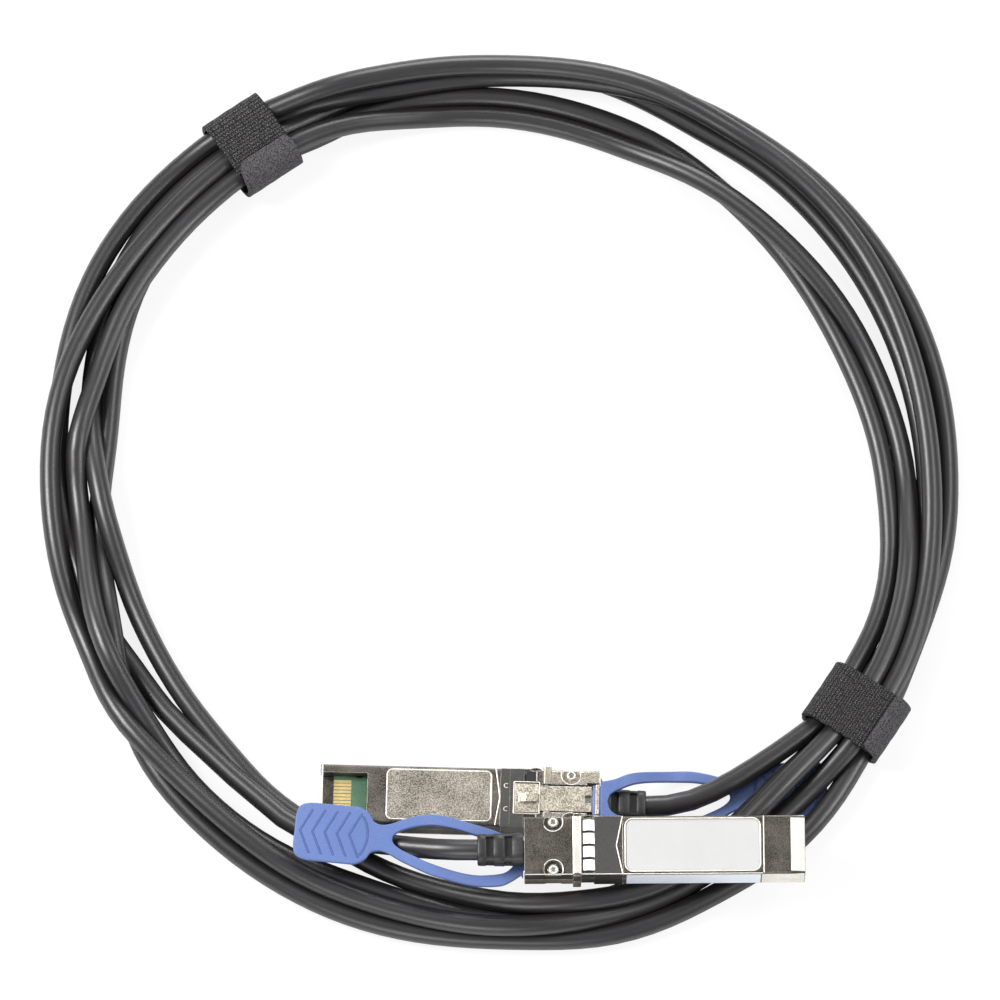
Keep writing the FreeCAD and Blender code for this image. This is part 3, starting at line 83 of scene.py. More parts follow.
# How many cords each turn lies on at the same places
TURN_LAYER = (
    (0.6, 0, 0, 0, 0, 0, 0, 0, 0, 0, 0, 0,
     0, 0, 0, 0.7, 0.5, 0, 0, 0, 0, 0, 0, 1.6),
    (0, 0, 0, 0, 0, 0, 0.9, 1, 1, 1, 0.6, 0,
     0, 0.2, 1, 0, 0.4, 1, 0.9, 0, 0.9, 1, 1, 1.2),
    (1, 1, 0.2, 0.7, 0.8, 1, 1, 0.9, 0.8, 0.9, 1, 1,
     1, 1.3, 0, 1, 1.5, 0, 0, 0, 0, 0, 0, 0.2),
    (0, 0, 0, 0, 0, 0, 0, 0, 0, 0, 0.3, 0.9,
     1, 1, 1, 0.8, 2.2, 1, 1, 0.9, 0.9, 0.9, 1, 1),
    (1, 1, 1, 1, 1, 1, 1.9, 1.9, 1.9, 1.7, 1, 0.2,
     0, 0, 0, 0, 0, 0),
)

# Each tie: direction and reach of its middle from the middle of the coil, width of what it holds
TIE_PLACES = {
    "upper_left_tie": (124.5, 100.0, 16.8),
    "lower_right_tie": (-33.2, 94.9, 16.6),
}
# Each tie: side of the coil where it laps over itself, where it starts and ends from that edge,
# rounding of its end's corners, and the pitch of its knit
TIE_LAPS = {
    "upper_left_tie": (-1, 2.6, 4.4, (3.4, 1.4), 0.80),
    "lower_right_tie": (1, 0.6, 2.2, (0.8, 0.8), 0.62),
}
STRAP_ROUND = 3.4
STRAP_EDGE = 0.0003
STRAP_STEPS = (150, 22)
STRAP_WAVE = 0.07
# Where the strap climbs onto itself and where its plainer end starts and is in full, as distances
# before one whole turn, and the gap under the lap
LAP_CLIMB = (9.0, 2.2)
LAP_LOOK = (8.0, 7.0)
LAP_GAP = 0.12
# Length over which the strap's rounded end is drawn out, and the stretch of its knit
END_SPAN = 5.0
KNIT_STRETCH = (0.95, 0.72)

# Settling of the turns: share of the diameter that a crossing cord is lifted, share of an overlap
# that one pass takes away and how much of that is sideways, pull back to the photograph's places,
# sinking of each pass, and stiffness against bending
LAYER_RISE = 0.88
PUSH_SHARE = 0.45
SIDE_SHARE = 0.45
HOME_PULL = 0.02
SINK_STEP = 0.02
BEND_SHARE = 0.055
# Passes between two searches for near places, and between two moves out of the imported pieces
SEARCH_EVERY = 10
KEEP_OFF_EVERY = 4

# Nose of each plug and its turn about the vertical; the rear plug lies label side down
PLUG_PLACES = {
    "rear": (Vector((-54.0, 6.2, 9.05)), -1.5, True),
    "front": (Vector((54.0, -8.3, 10.3)), 180.4, False),
}
PLUG_END = 62.4
LABEL_LEVEL = 8.5
HEAD_START = 49.8
CABLE_LEVEL = 5.05
FINGER_START = 46.75
FINGER_END = 49.35
FINGER_PITCH = 3.05
FINGER_WIDTH = 2.5
FINGER_RISE = 0.4
FINGER_SINK = 0.1
FINGER_THICK = 0.0002
FINGER_EDGE = 0.00008

# Half of each tab's plan, from the shells' tail to the tip, with the loop inside it
TAB_OUTSIDE = ((0.25, 4.4), (3.0, 5.3), (6.5, 6.3), (10.5, 6.9), (16.0, 7.1), (21.0, 6.8), (26.5, 5.1),
               (30.0, 3.5), (32.2, 3.0), (34.0, 3.6), (35.2, 5.3), (37.3, 6.5), (40.0, 6.6),
               (45.0, 6.6), (48.6, 6.5), (50.7, 5.6), (51.4, 3.6), (51.4, 0.0))
TAB_INSIDE = ((1.9, 0.0), (2.6, 1.9), (5.0, 3.2), (10.0, 4.4), (15.5, 4.75), (20.5, 4.4),
              (24.5, 3.35), (27.3, 2.3), (28.8, 1.35), (29.4, 0.6), (29.5, 0.0))
TAB_THICK = 1.3
TAB_LEVEL = 0.4
TAB_ROUND = 0.28
# Block inside the shells at each tab's root: length, width and middle
TAB_ROOT = (2.6, 6.7, -0.2)
# Cuts across each tab, close enough for it to bend smoothly: first, last and distance
TAB_CUTS = (-1.0, 52.0, 0.8)
# Steps between two places of each tab's plan
TAB_STEPS = 6
# Bend of each tab in degrees, rise from its root, the places between which it rises, and how
# far its loop sways to one side
TAB_BENDS = {"rear": (-7.0, 7.05, 5.5, 20.0, 0.8), "front": (-6.0, 2.2, 7.0, 20.0, 1.7)}
# Places between which each tab turns, and between which its sway grows and goes again
TURN_SPAN = (-1.0, 9.0)
SWAY_GROWS = (-1.0, 5.0)
SWAY_GOES = (8.0, 26.0)
# Grooves of the paddle: the chevrons' first place, pitch, lean and half width, and the place,
# radius, half width and end of the arc before them
GROOVE_FIRST = 36.7
GROOVE_PITCH = 2.75
GROOVE_LEAN = 2.5
GROOVE_HALF = 5.2
ARC_CENTRE = 43.1
ARC_RADIUS = 8.0
ARC_HALF = 4.7
ARC_END = 39.6

# Boot outside the shells: its ends, half sizes there and slot rings
BOOT_ENDS = (62.55, 72.85)
BOOT_HALF = ((3.65, 3.0), (3.4, 2.75))
BOOT_SLOTS = ((65.1, 66.75), (69.25, 70.85))
# Half width and depth of the slots above and below, and of the slots at the sides
SLOT_FLAT = (2.3, 1.1)
SLOT_SIDE = (1.5, 0.9)
# Steps round the boot, and the power that squares its section
BOOT_AROUND = 64
BOOT_POWER = 3.4


class CordSizes(bpy.types.PropertyGroup):
    """Sizes of the cord and of the way it settles."""
    diameter: bpy.props.FloatProperty(
        name="Diameter", description="Outer diameter of the cable", default=0.0047,
        unit="LENGTH", precision=4)
    length: bpy.props.FloatProperty(
        name="Length", description="Length from boot to boot", default=3.0, unit="LENGTH")
    spacing: bpy.props.FloatProperty(
        name="Spacing", description="Distance between the points that settle", default=0.004,
        unit="LENGTH", precision=4)
    passes: bpy.props.IntProperty(
        name="Passes", description="Rounds of settling", default=420, min=1)


class TieSizes(bpy.types.PropertyGroup):
    """Sizes of the hook and loop ties."""
    width: bpy.props.FloatProperty(
        name="Width", description="Width of the strap", default=0.0144, unit="LENGTH",
        precision=4)
    thick: bpy.props.FloatProperty(
        name="Thickness", description="Thickness of the strap", default=0.0011, unit="LENGTH",
        precision=4)
    height: bpy.props.FloatProperty(
        name="Height", description="Height of the bundle inside the strap", default=0.0087,
        unit="LENGTH", precision=4)


class StageSizes(bpy.types.PropertyGroup):
    """Camera and light."""
    distance: bpy.props.FloatProperty(
        name="Camera distance", description="Distance from the camera to the middle of the coil",
        default=2.4, unit="LENGTH")
    view_width: bpy.props.FloatProperty(
        name="View width", description="Width of the picture at the surface", default=0.2262,
        unit="LENGTH", precision=4)


SETTINGS = {"cord_sizes": CordSizes, "tie_sizes": TieSizes, "stage_sizes": StageSizes}


# Materials

def socket_group(name, inputs, outputs):
    """An empty shader node group with the sockets named."""
    group = bpy.data.node_groups.new(name, "ShaderNodeTree")
    for label, kind, value in inputs:
        socket = group.interface.new_socket(name=label, in_out="INPUT", socket_type=kind)
        if value is not None:
            socket.default_value = value
    for label, kind in outputs:
        group.interface.new_socket(name=label, in_out="OUTPUT", socket_type=kind)
    entry = group.nodes.new("NodeGroupInput")
    leave = group.nodes.new("NodeGroupOutput")
    return group, entry, leave


def add_group(tree, name, **values):
    """A named effect in a tree, with values for its sockets."""
    node = tree.nodes.new("ShaderNodeGroup")
    node.node_tree = bpy.data.node_groups[name]
    for label, value in values.items():
        node.inputs[label.replace("_", " ").title()].default_value = value
    return node


def add_noise(tree, vector, scale, detail=2.0, roughness=0.5):
    """Noise over a place, with a number or a socket for its scale."""
    noise = tree.nodes.new("ShaderNodeTexNoise")
    noise.inputs["Detail"].default_value = detail
    noise.inputs["Roughness"].default_value = roughness
    if isinstance(scale, (int, float)):
        noise.inputs["Scale"].default_value = scale
    else:
        tree.links.new(scale, noise.inputs["Scale"])
    tree.links.new(vector, noise.inputs["Vector"])
    return noise.outputs["Fac"]


def add_range(tree, value, low, high, new_low=0.0, new_high=1.0):
    """A value taken from one range to another."""
    node = tree.nodes.new("ShaderNodeMapRange")
    for label, number in (("From Min", low), ("From Max", high), ("To Min", new_low),
                          ("To Max", new_high)):
        if isinstance(number, (int, float)):
            node.inputs[label].default_value = number
        else:
            tree.links.new(number, node.inputs[label])
    tree.links.new(value, node.inputs["Value"])
    return node.outputs["Result"]


def add_math(tree, operation, first, second=None):
    """One calculation on one or two numbers or sockets."""
    node = tree.nodes.new("ShaderNodeMath")
    node.operation = operation
    for number, value in enumerate((first, second)):
        if value is None:
            continue
        if isinstance(value, (int, float)):
            node.inputs[number].default_value = value
        else:
            tree.links.new(value, node.inputs[number])
    return node.outputs["Value"]


def add_mix(tree, factor, first, second):
    """A colour between two colours or sockets."""
    node = tree.nodes.new("ShaderNodeMix")
    node.data_type = "RGBA"
    for label, value in (("Factor", factor), ("A", first), ("B", second)):
        socket = [s for s in node.inputs if s.name == label and s.enabled][0]
        if hasattr(value, "is_linked"):
            tree.links.new(value, socket)
        else:
            socket.default_value = value
    return [s for s in node.outputs if s.enabled][0]


def fine_grain_group():
    """Fine grain of a surface: a mask of pale specks, a cloudy mask and a height."""
    group, entry, leave = socket_group(
        "fine_grain",
        [("Vector", "NodeSocketVector", None), ("Grain Scale", "NodeSocketFloat", 3000.0),
         ("Cloud Scale", "NodeSocketFloat", 120.0), ("Contrast", "NodeSocketFloat", 0.5)],
        [("Specks", "NodeSocketFloat"), ("Clouds", "NodeSocketFloat"), ("Height", "NodeSocketFloat")])
    grain = add_noise(group, entry.outputs["Vector"], entry.outputs["Grain Scale"], 3.0, 0.6)
    cloud = add_noise(group, entry.outputs["Vector"], entry.outputs["Cloud Scale"], 4.0, 0.55)
    half = add_math(group, "MULTIPLY", entry.outputs["Contrast"], 0.25)
    low = add_math(group, "SUBTRACT", 0.5, add_math(group, "SUBTRACT", 0.27, half))
    high = add_math(group, "ADD", 0.5, add_math(group, "SUBTRACT", 0.27, half))
    group.links.new(add_range(group, grain, low, high), leave.inputs["Specks"])
    group.links.new(add_range(group, cloud, 0.3, 0.7), leave.inputs["Clouds"])
    group.links.new(grain, leave.inputs["Height"])
    return group


def finish(name):
    """The finish made here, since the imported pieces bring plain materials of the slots' names."""
    return bpy.data.materials[f"{name}_finish"]


def new_material(name):
    """A material with its tree, shader and object coordinates ready."""
    material = bpy.data.materials.new(f"{name}_finish")
    material.use_nodes = True
    tree = material.node_tree
    shader = tree.nodes["Principled BSDF"]
    place = tree.nodes.new("ShaderNodeTexCoord").outputs["Object"]
    return material, tree, shader, place


def grained_material(name, dark, pale, rough, metallic, grain, clouds, bump, contrast=0.5,
                     coat=0.0, specular=0.5, edge=0.0, edge_glint_colour=None):
    """A surface whose colour, roughness and height follow its grain, with its edges rounded off and, given
    an edge colour, a painted highlight along them.
    """
    material, tree, shader, place = new_material(name)
    group = add_group(tree, "fine_grain", grain_scale=grain, cloud_scale=clouds, contrast=contrast)
    tree.links.new(place, group.inputs["Vector"])
    blend = add_math(tree, "MULTIPLY", add_math(tree, "ADD", group.outputs["Specks"],
                                                group.outputs["Clouds"]), 0.5)
    colour = add_mix(tree, blend, (*dark, 1), (*pale, 1))
    tree.links.new(add_range(tree, group.outputs["Specks"], 0, 1, *rough),
                   shader.inputs["Roughness"])
    node = tree.nodes.new("ShaderNodeBump")
    if edge:
        rounding = add_group(tree, "rounded_edges", radius=edge)
        tree.links.new(rounding.outputs["Normal"], node.inputs["Normal"])
    # Painted highlight: a pale colour mixed in along the rounded edges
    if edge_glint_colour:
        colour = add_mix(tree, rounding.outputs["Edge Glint"], colour, (*edge_glint_colour, 1))
    tree.links.new(colour, shader.inputs["Base Color"])
    node.inputs["Strength"].default_value = 1.0
    node.inputs["Distance"].default_value = bump
    tree.links.new(group.outputs["Height"], node.inputs["Height"])
    tree.links.new(node.outputs["Normal"], shader.inputs["Normal"])
    shader.inputs["Metallic"].default_value = metallic
    shader.inputs["Coat Weight"].default_value = coat
    shader.inputs["Specular IOR Level"].default_value = specular
    return material


def knit_group():
    """Knit of a strap over its own length and width: rings of yarn with gaps at the row's seam, as a mask
    for painted sheen on the yarn and painted shade in the holes and gaps.
    """
    unevenness = 0.36
    ring_reach = 0.33
    seam = 0.18
    fuzz_scale = 4000.0
    group, entry, leave = socket_group(
        "knit",
        [("Vector", "NodeSocketVector", None), ("Scale", "NodeSocketFloat", 1000.0)],
        [("Lit Loops", "NodeSocketFloat"), ("Height", "NodeSocketFloat")])
    cells = group.nodes.new("ShaderNodeTexVoronoi")
    cells.voronoi_dimensions = "2D"
    cells.inputs["Randomness"].default_value = unevenness
    group.links.new(entry.outputs["Vector"], cells.inputs["Vector"])
    group.links.new(entry.outputs["Scale"], cells.inputs["Scale"])
    away = add_math(group, "ABSOLUTE",
                    add_math(group, "SUBTRACT", cells.outputs["Distance"], ring_reach))
    ring = add_range(group, away, 0.2, 0.03)
    fuzz = add_noise(group, entry.outputs["Vector"], fuzz_scale, 3.0, 0.6)
    split = group.nodes.new("ShaderNodeSeparateXYZ")
    group.links.new(entry.outputs["Vector"], split.inputs["Vector"])
    rows = add_math(group, "MULTIPLY", split.outputs["X"], entry.outputs["Scale"])
    rows = add_math(group, "FRACT", add_math(group, "SUBTRACT", rows, seam))
    gap = add_range(group, add_math(group, "ABSOLUTE", add_math(group, "SUBTRACT", rows, 0.5)),
                    0.06, 0.22)
    ring = add_math(group, "MULTIPLY", ring, gap)
    loops = add_math(group, "MULTIPLY", ring, add_range(group, fuzz, 0.35, 0.62))
    group.links.new(loops, leave.inputs["Lit Loops"])
    group.links.new(add_math(group, "ADD", add_math(group, "MULTIPLY", ring, 0.7),
                             add_math(group, "MULTIPLY", fuzz, 0.6)), leave.inputs["Height"])
    return group


def strap_material():
    """Black hook and loop strap: knit loops with painted sheen on the yarn and painted shade in the holes,
    and a plainer paler lap at its end.
    """
    material, tree, shader, place = new_material("tie_fabric")
    length = tree.nodes.new("ShaderNodeUVMap")
    length.uv_map = "strap"
    knit = add_group(tree, "knit")
    tree.links.new(length.outputs["UV"], knit.inputs["Vector"])
    size = tree.nodes.new("ShaderNodeAttribute")
    size.attribute_name = "knit_scale"
    tree.links.new(size.outputs["Fac"], knit.inputs["Scale"])
    lap = tree.nodes.new("ShaderNodeAttribute")
    lap.attribute_name = "lap"
    plain = add_group(tree, "fine_grain", grain_scale=3400, cloud_scale=700, contrast=0.8)
    tree.links.new(place, plain.inputs["Vector"])
    # Painted sheen and shade: the knit is near black in its holes and grey on its lit loops
    knitted = add_mix(tree, knit.outputs["Lit Loops"], (0.0085, 0.008, 0.0085, 1), (0.17, 0.162, 0.16, 1))
    lapped = add_mix(tree, plain.outputs["Specks"], (0.022, 0.0205, 0.022, 1), (0.088, 0.084, 0.087, 1))
    tree.links.new(add_mix(tree, lap.outputs["Fac"], knitted, lapped), shader.inputs["Base Color"])
    height = tree.nodes.new("ShaderNodeMix")
    tree.links.new(lap.outputs["Fac"], height.inputs["Factor"])
    tree.links.new(knit.outputs["Height"], height.inputs["A"])
    tree.links.new(add_math(tree, "MULTIPLY", plain.outputs["Height"], 0.4), height.inputs["B"])
    node = tree.nodes.new("ShaderNodeBump")
    node.inputs["Distance"].default_value = 0.0004
    tree.links.new(height.outputs["Result"], node.inputs["Height"])
    tree.links.new(node.outputs["Normal"], shader.inputs["Normal"])
    shader.inputs["Roughness"].default_value = 0.85
    shader.inputs["Specular IOR Level"].default_value = 0.25
    return material


def rounded_edges_group():
    """Rounds edges off in the shading and tells where a painted highlight goes along them."""
    glint_from, glint_full = 0.97, 0.80
    group, entry, leave = socket_group(
        "rounded_edges", [("Radius", "NodeSocketFloat", 0.0002)],
        [("Normal", "NodeSocketVector"), ("Edge Glint", "NodeSocketFloat")])
    rounding = group.nodes.new("ShaderNodeBevel")
    rounding.samples = 4
    group.links.new(entry.outputs["Radius"], rounding.inputs["Radius"])
    turn = group.nodes.new("ShaderNodeVectorMath")
    turn.operation = "DOT_PRODUCT"
    group.links.new(rounding.outputs["Normal"], turn.inputs[0])
    group.links.new(group.nodes.new("ShaderNodeNewGeometry").outputs["True Normal"],
                    turn.inputs[1])
    group.links.new(rounding.outputs["Normal"], leave.inputs["Normal"])
    group.links.new(add_range(group, turn.outputs["Value"], glint_from, glint_full), leave.inputs["Edge Glint"])
    return group


def tail_share_group():
    """How far a place lies towards a plug's tail, from 0 to 1 across a short step."""
    step = 0.0002
    group, entry, leave = socket_group(
        "tail_share", [("Vector", "NodeSocketVector", None), ("Direction", "NodeSocketVector", None),
                       ("Start", "NodeSocketFloat", 0.0)], [("Share", "NodeSocketFloat")])
    along = group.nodes.new("ShaderNodeVectorMath")
    along.operation = "DOT_PRODUCT"
    group.links.new(entry.outputs["Vector"], along.inputs[0])
    group.links.new(entry.outputs["Direction"], along.inputs[1])
    past = add_math(group, "SUBTRACT", along.outputs["Value"], entry.outputs["Start"])
    group.links.new(add_range(group, past, 0.0, step), leave.inputs["Share"])
    return group


# Edges rounded off in the shading: the radius that they are rounded to, and the colour of the painted
# highlight along them
DARK_EDGE = {"edge": 0.00022, "edge_glint_colour": (0.92, 0.88, 0.80)}
PALE_EDGE = {"edge": 0.00022, "edge_glint_colour": (0.95, 0.92, 0.84)}


def base_casting(plug):
    """The dark casting of the plugs, with a painted sheen: its head towards the plug's tail is made paler.
    """
    head_sheen_gain = (2.6, 2.6, 2.5)
    material = grained_material(
        f"{plug}_casting", (0.034, 0.031, 0.027), (0.25, 0.228, 0.195), (0.34, 0.52), 1.0,
        4400, 130, 0.00003, 0.9, **DARK_EDGE)
    tree = material.node_tree
    shader = tree.nodes["Principled BSDF"]
    matrix = plug_matrix(plug)
    ahead = matrix.to_3x3() @ Vector((1, 0, 0))
    share = add_group(tree, "tail_share", direction=ahead,
                      start=ahead.dot(matrix @ Vector((HEAD_START, 0, 0))) * MM)
    tree.links.new(tree.nodes["Texture Coordinate"].outputs["Object"], share.inputs["Vector"])
    colour = shader.inputs["Base Color"].links[0].from_socket
    # Painted sheen: the head's colour is raised by the head gain
    pale = tree.nodes.new("ShaderNodeVectorMath")
    pale.operation = "MULTIPLY"
    tree.links.new(colour, pale.inputs[0])
    pale.inputs[1].default_value = head_sheen_gain
    tree.links.new(add_mix(tree, share.outputs["Share"], colour, pale.outputs["Vector"]),
                   shader.inputs["Base Color"])
    return material


def groove_group():
    """Grooves of the tabs' paddle over the tab's plan in millimetres: five chevrons and an arc."""
    group, entry, leave = socket_group(
        "grip_grooves", [("Vector", "NodeSocketVector", None)], [("Grooves", "NodeSocketFloat")])
    split = group.nodes.new("ShaderNodeSeparateXYZ")
    group.links.new(entry.outputs["Vector"], split.inputs["Vector"])
    along = split.outputs["X"]
    across = add_math(group, "ABSOLUTE", split.outputs["Y"])
    lean = add_math(group, "MULTIPLY", across, -GROOVE_LEAN / GROOVE_HALF)
    start = add_math(group, "SUBTRACT", along, GROOVE_FIRST + GROOVE_LEAN)
    steps = add_math(group, "DIVIDE", add_math(group, "SUBTRACT", start, lean), GROOVE_PITCH)
    off = add_math(group, "ABSOLUTE", add_math(group, "SUBTRACT", steps,
                                               add_math(group, "ROUND", steps)))
    line = add_range(group, off, 0.11, 0.05)
    line = add_math(group, "MULTIPLY", line, add_range(group, steps, -0.4, -0.3))
    line = add_math(group, "MULTIPLY", line, add_range(group, steps, 4.4, 4.3))
    line = add_math(group, "MULTIPLY", line, add_range(group, across, GROOVE_HALF, GROOVE_HALF - 0.2))
    centre = add_math(group, "SUBTRACT", along, ARC_CENTRE)
    reach = add_math(group, "SQRT", add_math(
        group, "ADD", add_math(group, "MULTIPLY", centre, centre),
        add_math(group, "MULTIPLY", across, across)))
    off = add_math(group, "ABSOLUTE", add_math(group, "SUBTRACT", reach, ARC_RADIUS))
    arc = add_range(group, off, 0.3, 0.12)
    arc = add_math(group, "MULTIPLY", arc, add_range(group, across, ARC_HALF, ARC_HALF - 0.3))
    arc = add_math(group, "MULTIPLY", arc, add_range(group, along, ARC_END, ARC_END - 0.2))
    group.links.new(add_math(group, "MAXIMUM", line, arc), leave.inputs["Grooves"])
    return group


def tab_material():
    """Blue moulded plastic with the paddle's grooves, sunk in the shading and darkened with painted shade.
    """
    material = grained_material(
        "blue_plastic", (0.075, 0.122, 0.305), (0.105, 0.16, 0.36), (0.42, 0.54), 0.0,
        2400, 90, 0.000008, 0.5)
    tree = material.node_tree
    shader = tree.nodes["Principled BSDF"]
    plan = tree.nodes.new("ShaderNodeUVMap")
    plan.uv_map = "plan"
    grooves = add_group(tree, "grip_grooves")
    tree.links.new(plan.outputs["UV"], grooves.inputs["Vector"])
    sunk = tree.nodes.new("ShaderNodeBump")
    sunk.invert = True
    sunk.inputs["Distance"].default_value = 0.0002
    tree.links.new(grooves.outputs["Grooves"], sunk.inputs["Height"])
    tree.links.new(shader.inputs["Normal"].links[0].from_socket, sunk.inputs["Normal"])
    tree.links.new(sunk.outputs["Normal"], shader.inputs["Normal"])
    # Painted shade: the grooves are darkened towards a deep blue
    colour = shader.inputs["Base Color"].links[0].from_socket
    tree.links.new(add_mix(tree, add_math(tree, "MULTIPLY", grooves.outputs["Grooves"], 0.75), colour,
                           (0.05, 0.085, 0.25, 1)), shader.inputs["Base Color"])
    return material


# Finishes: dark and pale colour, range of the roughness, metallic share, scale of the grain and of
# the clouds, height and contrast of the grain, and anything else that differs
FINISHES = {
    # Painted highlight: a pale copy of the casting on the nose bevel and nose sides, standing in for light
    # glancing off them
    "nose_highlight": ((0.44, 0.415, 0.37), (0.84, 0.80, 0.72), (0.34, 0.5), 0.55,
                  4400, 160, 0.00002, 0.8, {}),
    # Painted shade: near black for the openings beside the latch, which lie in shadow
    "hole_shade": ((0.004, 0.004, 0.004), (0.008, 0.008, 0.008), (0.5, 0.6), 0.0,
                  3000, 160, 0.000004, 0.4, {}),
    # Painted highlight: pale finish of the trims, the stop ridge and the hatch lips, standing in for light
    # caught on their edges
    "painted_highlight": ((0.62, 0.585, 0.52), (0.97, 0.93, 0.85), (0.30, 0.42), 0.6,
                    4400, 160, 0.00001, 0.8, {}),
    "plated_casting": ((0.027, 0.0245, 0.021), (0.205, 0.187, 0.16), (0.34, 0.52), 1.0,
                       4400, 130, 0.00003, 0.9, DARK_EDGE),
    # Painted sheen: a paler copy of the plated casting for the raised plate
    "pale_casting": ((0.095, 0.087, 0.072), (0.60, 0.55, 0.46), (0.34, 0.5), 1.0,
                     3900, 130, 0.00004, 0.9, PALE_EDGE),
    "bright_sheet": ((0.15, 0.146, 0.135), (0.19, 0.183, 0.17), (0.30, 0.38), 1.0,
                     2500, 160, 0.000003, 0.3, {"edge": 0.00015, "edge_glint_colour": (0.90, 0.87, 0.80)}),
    # Painted sheen: the spring fingers' near-white diffuse share keeps them evenly bright in place of
    # their reflections
    "finger_sheet": ((0.90, 0.88, 0.83), (0.98, 0.96, 0.91), (0.38, 0.46), 0.7,
                     2500, 160, 0.000003, 0.3, {}),
    "plated_latch": ((0.26, 0.235, 0.185), (0.90, 0.82, 0.68), (0.34, 0.5), 1.0,
                     3400, 130, 0.00004, 0.8, {"edge": 0.0002, "edge_glint_colour": (0.95, 0.92, 0.84)}),
    "steel_parts": ((0.60, 0.59, 0.56), (0.80, 0.78, 0.73), (0.2, 0.3), 1.0,
                    3000, 200, 0.0000015, 0.3, {"edge": 0.0001, "edge_glint_colour": (0.95, 0.93, 0.88)}),
    "green_board": ((0.07, 0.16, 0.095), (0.115, 0.225, 0.13), (0.25, 0.4), 0.0,
                    1500, 180, 0.000004, 0.3, {"coat": 0.3}),
    "gilded_pads": ((0.90, 0.62, 0.25), (1.0, 0.78, 0.38), (0.3, 0.42), 0.75,
                    2500, 300, 0.000002, 0.3, {}),
    "ferrule_brass": ((0.60, 0.44, 0.20), (0.78, 0.60, 0.32), (0.25, 0.4), 1.0,
                      2500, 200, 0.000005, 0.4, {}),
    "wire_insulation": ((0.45, 0.45, 0.44), (0.62, 0.62, 0.60), (0.35, 0.5), 0.0,
                        1200, 200, 0.000003, 0.3, {}),
    "black_boot": ((0.0075, 0.0068, 0.0075), (0.022, 0.0205, 0.0212), (0.36, 0.50), 0.0,
                   2600, 160, 0.00001, 0.5, {"edge": 0.0002}),
    "white_label": ((0.44, 0.437, 0.43), (0.475, 0.471, 0.463), (0.32, 0.42), 0.0,
                    2600, 150, 0.000002, 0.3, {}),
    "pale_label": ((0.62, 0.66, 0.71), (0.68, 0.72, 0.78), (0.3, 0.4), 0.0,
                   2600, 150, 0.000002, 0.3, {}),
    "cable_jacket": ((0.0105, 0.0092, 0.010), (0.016, 0.0144, 0.0152), (0.34, 0.40), 0.0,
                     2600, 60, 0.000001, 0.4, {"specular": 0.7}),
}


def make_materials():
    """The finishes of the record's slots, and those of single pieces such as the plugs' castings."""
    for make_group in (fine_grain_group, knit_group, groove_group, rounded_edges_group,
                       tail_share_group):
        make_group()
    made = {name: grained_material(name, *values, **extra)
            for name, (*values, extra) in FINISHES.items()}
    for plug in PLUG_PLACES:
        made[f"{plug}_casting"] = base_casting(plug)
    made["blue_plastic"] = tab_material()
    made["tie_fabric"] = strap_material()
    return made


# Cord

def plan_point(direction, reach, level):
    """Row position of a place that the photograph shows at a direction and reach from the middle."""
    angle = math.radians(direction)
    x = reach * math.cos(angle)
    y = (reach * math.sin(angle) - level * math.cos(CAMERA_ELEVATION)) / math.sin(CAMERA_ELEVATION)
    return Vector((x, y, level))


def smooth_value(values, place):
    """Value between stations of a list, on a smooth curve through them."""
    first = min(int(place), len(values) - 2)
    share = place - first
    before = values[max(first - 1, 0)]
    low = values[first]
    high = values[first + 1]
    after = values[min(first + 2, len(values) - 1)]
    slope_low = (high - before) / 2
    slope_high = (after - low) / 2
    return ((2 * share ** 3 - 3 * share ** 2 + 1) * low + (share ** 3 - 2 * share ** 2 + share) * slope_low
            + (3 * share ** 2 - 2 * share ** 3) * high + (share ** 3 - share ** 2) * slope_high)


def coil_points(diameter, spacing):
    """Turns of the coil as rows of x, y, z from its middle, in millimetres."""
    reaches = [reach for turn in TURN_REACH for reach in turn]
    layers = [layer for turn in TURN_LAYER for layer in turn]
    radius = diameter / 2
    points = []
    place = 0.0
    while place <= len(reaches) - 1:
        reach = smooth_value(reaches, place)
        level = radius + LAYER_RISE * diameter * max(smooth_value(layers, place), 0)
        points.append(plan_point(FIRST_DIRECTION + TURN_STEP * place, reach, level))
        place += math.degrees(spacing / reach) / TURN_STEP
    return np.array(points)


def solid_tree():
    """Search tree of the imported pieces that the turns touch, from the middle of the coil, in mm."""
    corners = []
    faces = []
    for name, node in frame["nodes"].items():
        if "cable" in name or "tie" in name:
            continue
        first = len(corners)
        corners += [node.matrix_world @ corner.co / MM - COIL_MIDDLE for corner in node.data.vertices]
        faces += [[first + number for number in face.vertices] for face in node.data.polygons]
    return BVHTree.FromPolygons(corners, faces)


def keep_off(points, tree, radius):
    """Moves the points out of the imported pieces."""
    for number, point in enumerate(points):
        place = Vector(point)
        found, normal = tree.find_nearest(place, radius)[:2]
        if found is None:
            continue
        outward = place - found
        if outward.dot(normal) < 0:
            points[number] = found + normal * radius
        else:
            points[number] = found + outward.normalized() * radius


def keep_in_ties(points, radius, ties):
    """Holds the points inside the straps."""
    for direction, reach, width in TIE_PLACES.values():
        angle = math.radians(direction)
        out = np.array((math.cos(angle), math.sin(angle)))
        offset = points[:, :2] @ out - reach
        along = points[:, :2] @ np.array((-out[1], out[0]))
        inside = (abs(along) < ties["half"] + 1) & (abs(offset) < width)
        limit = width / 2 - radius
        shift = np.clip(offset[inside], -limit, limit) - offset[inside]
        points[inside, :2] += shift[:, None] * out
        points[inside, 2] = np.clip(points[inside, 2], ties["thick"] + radius,
                                    ties["thick"] + ties["height"] - radius)


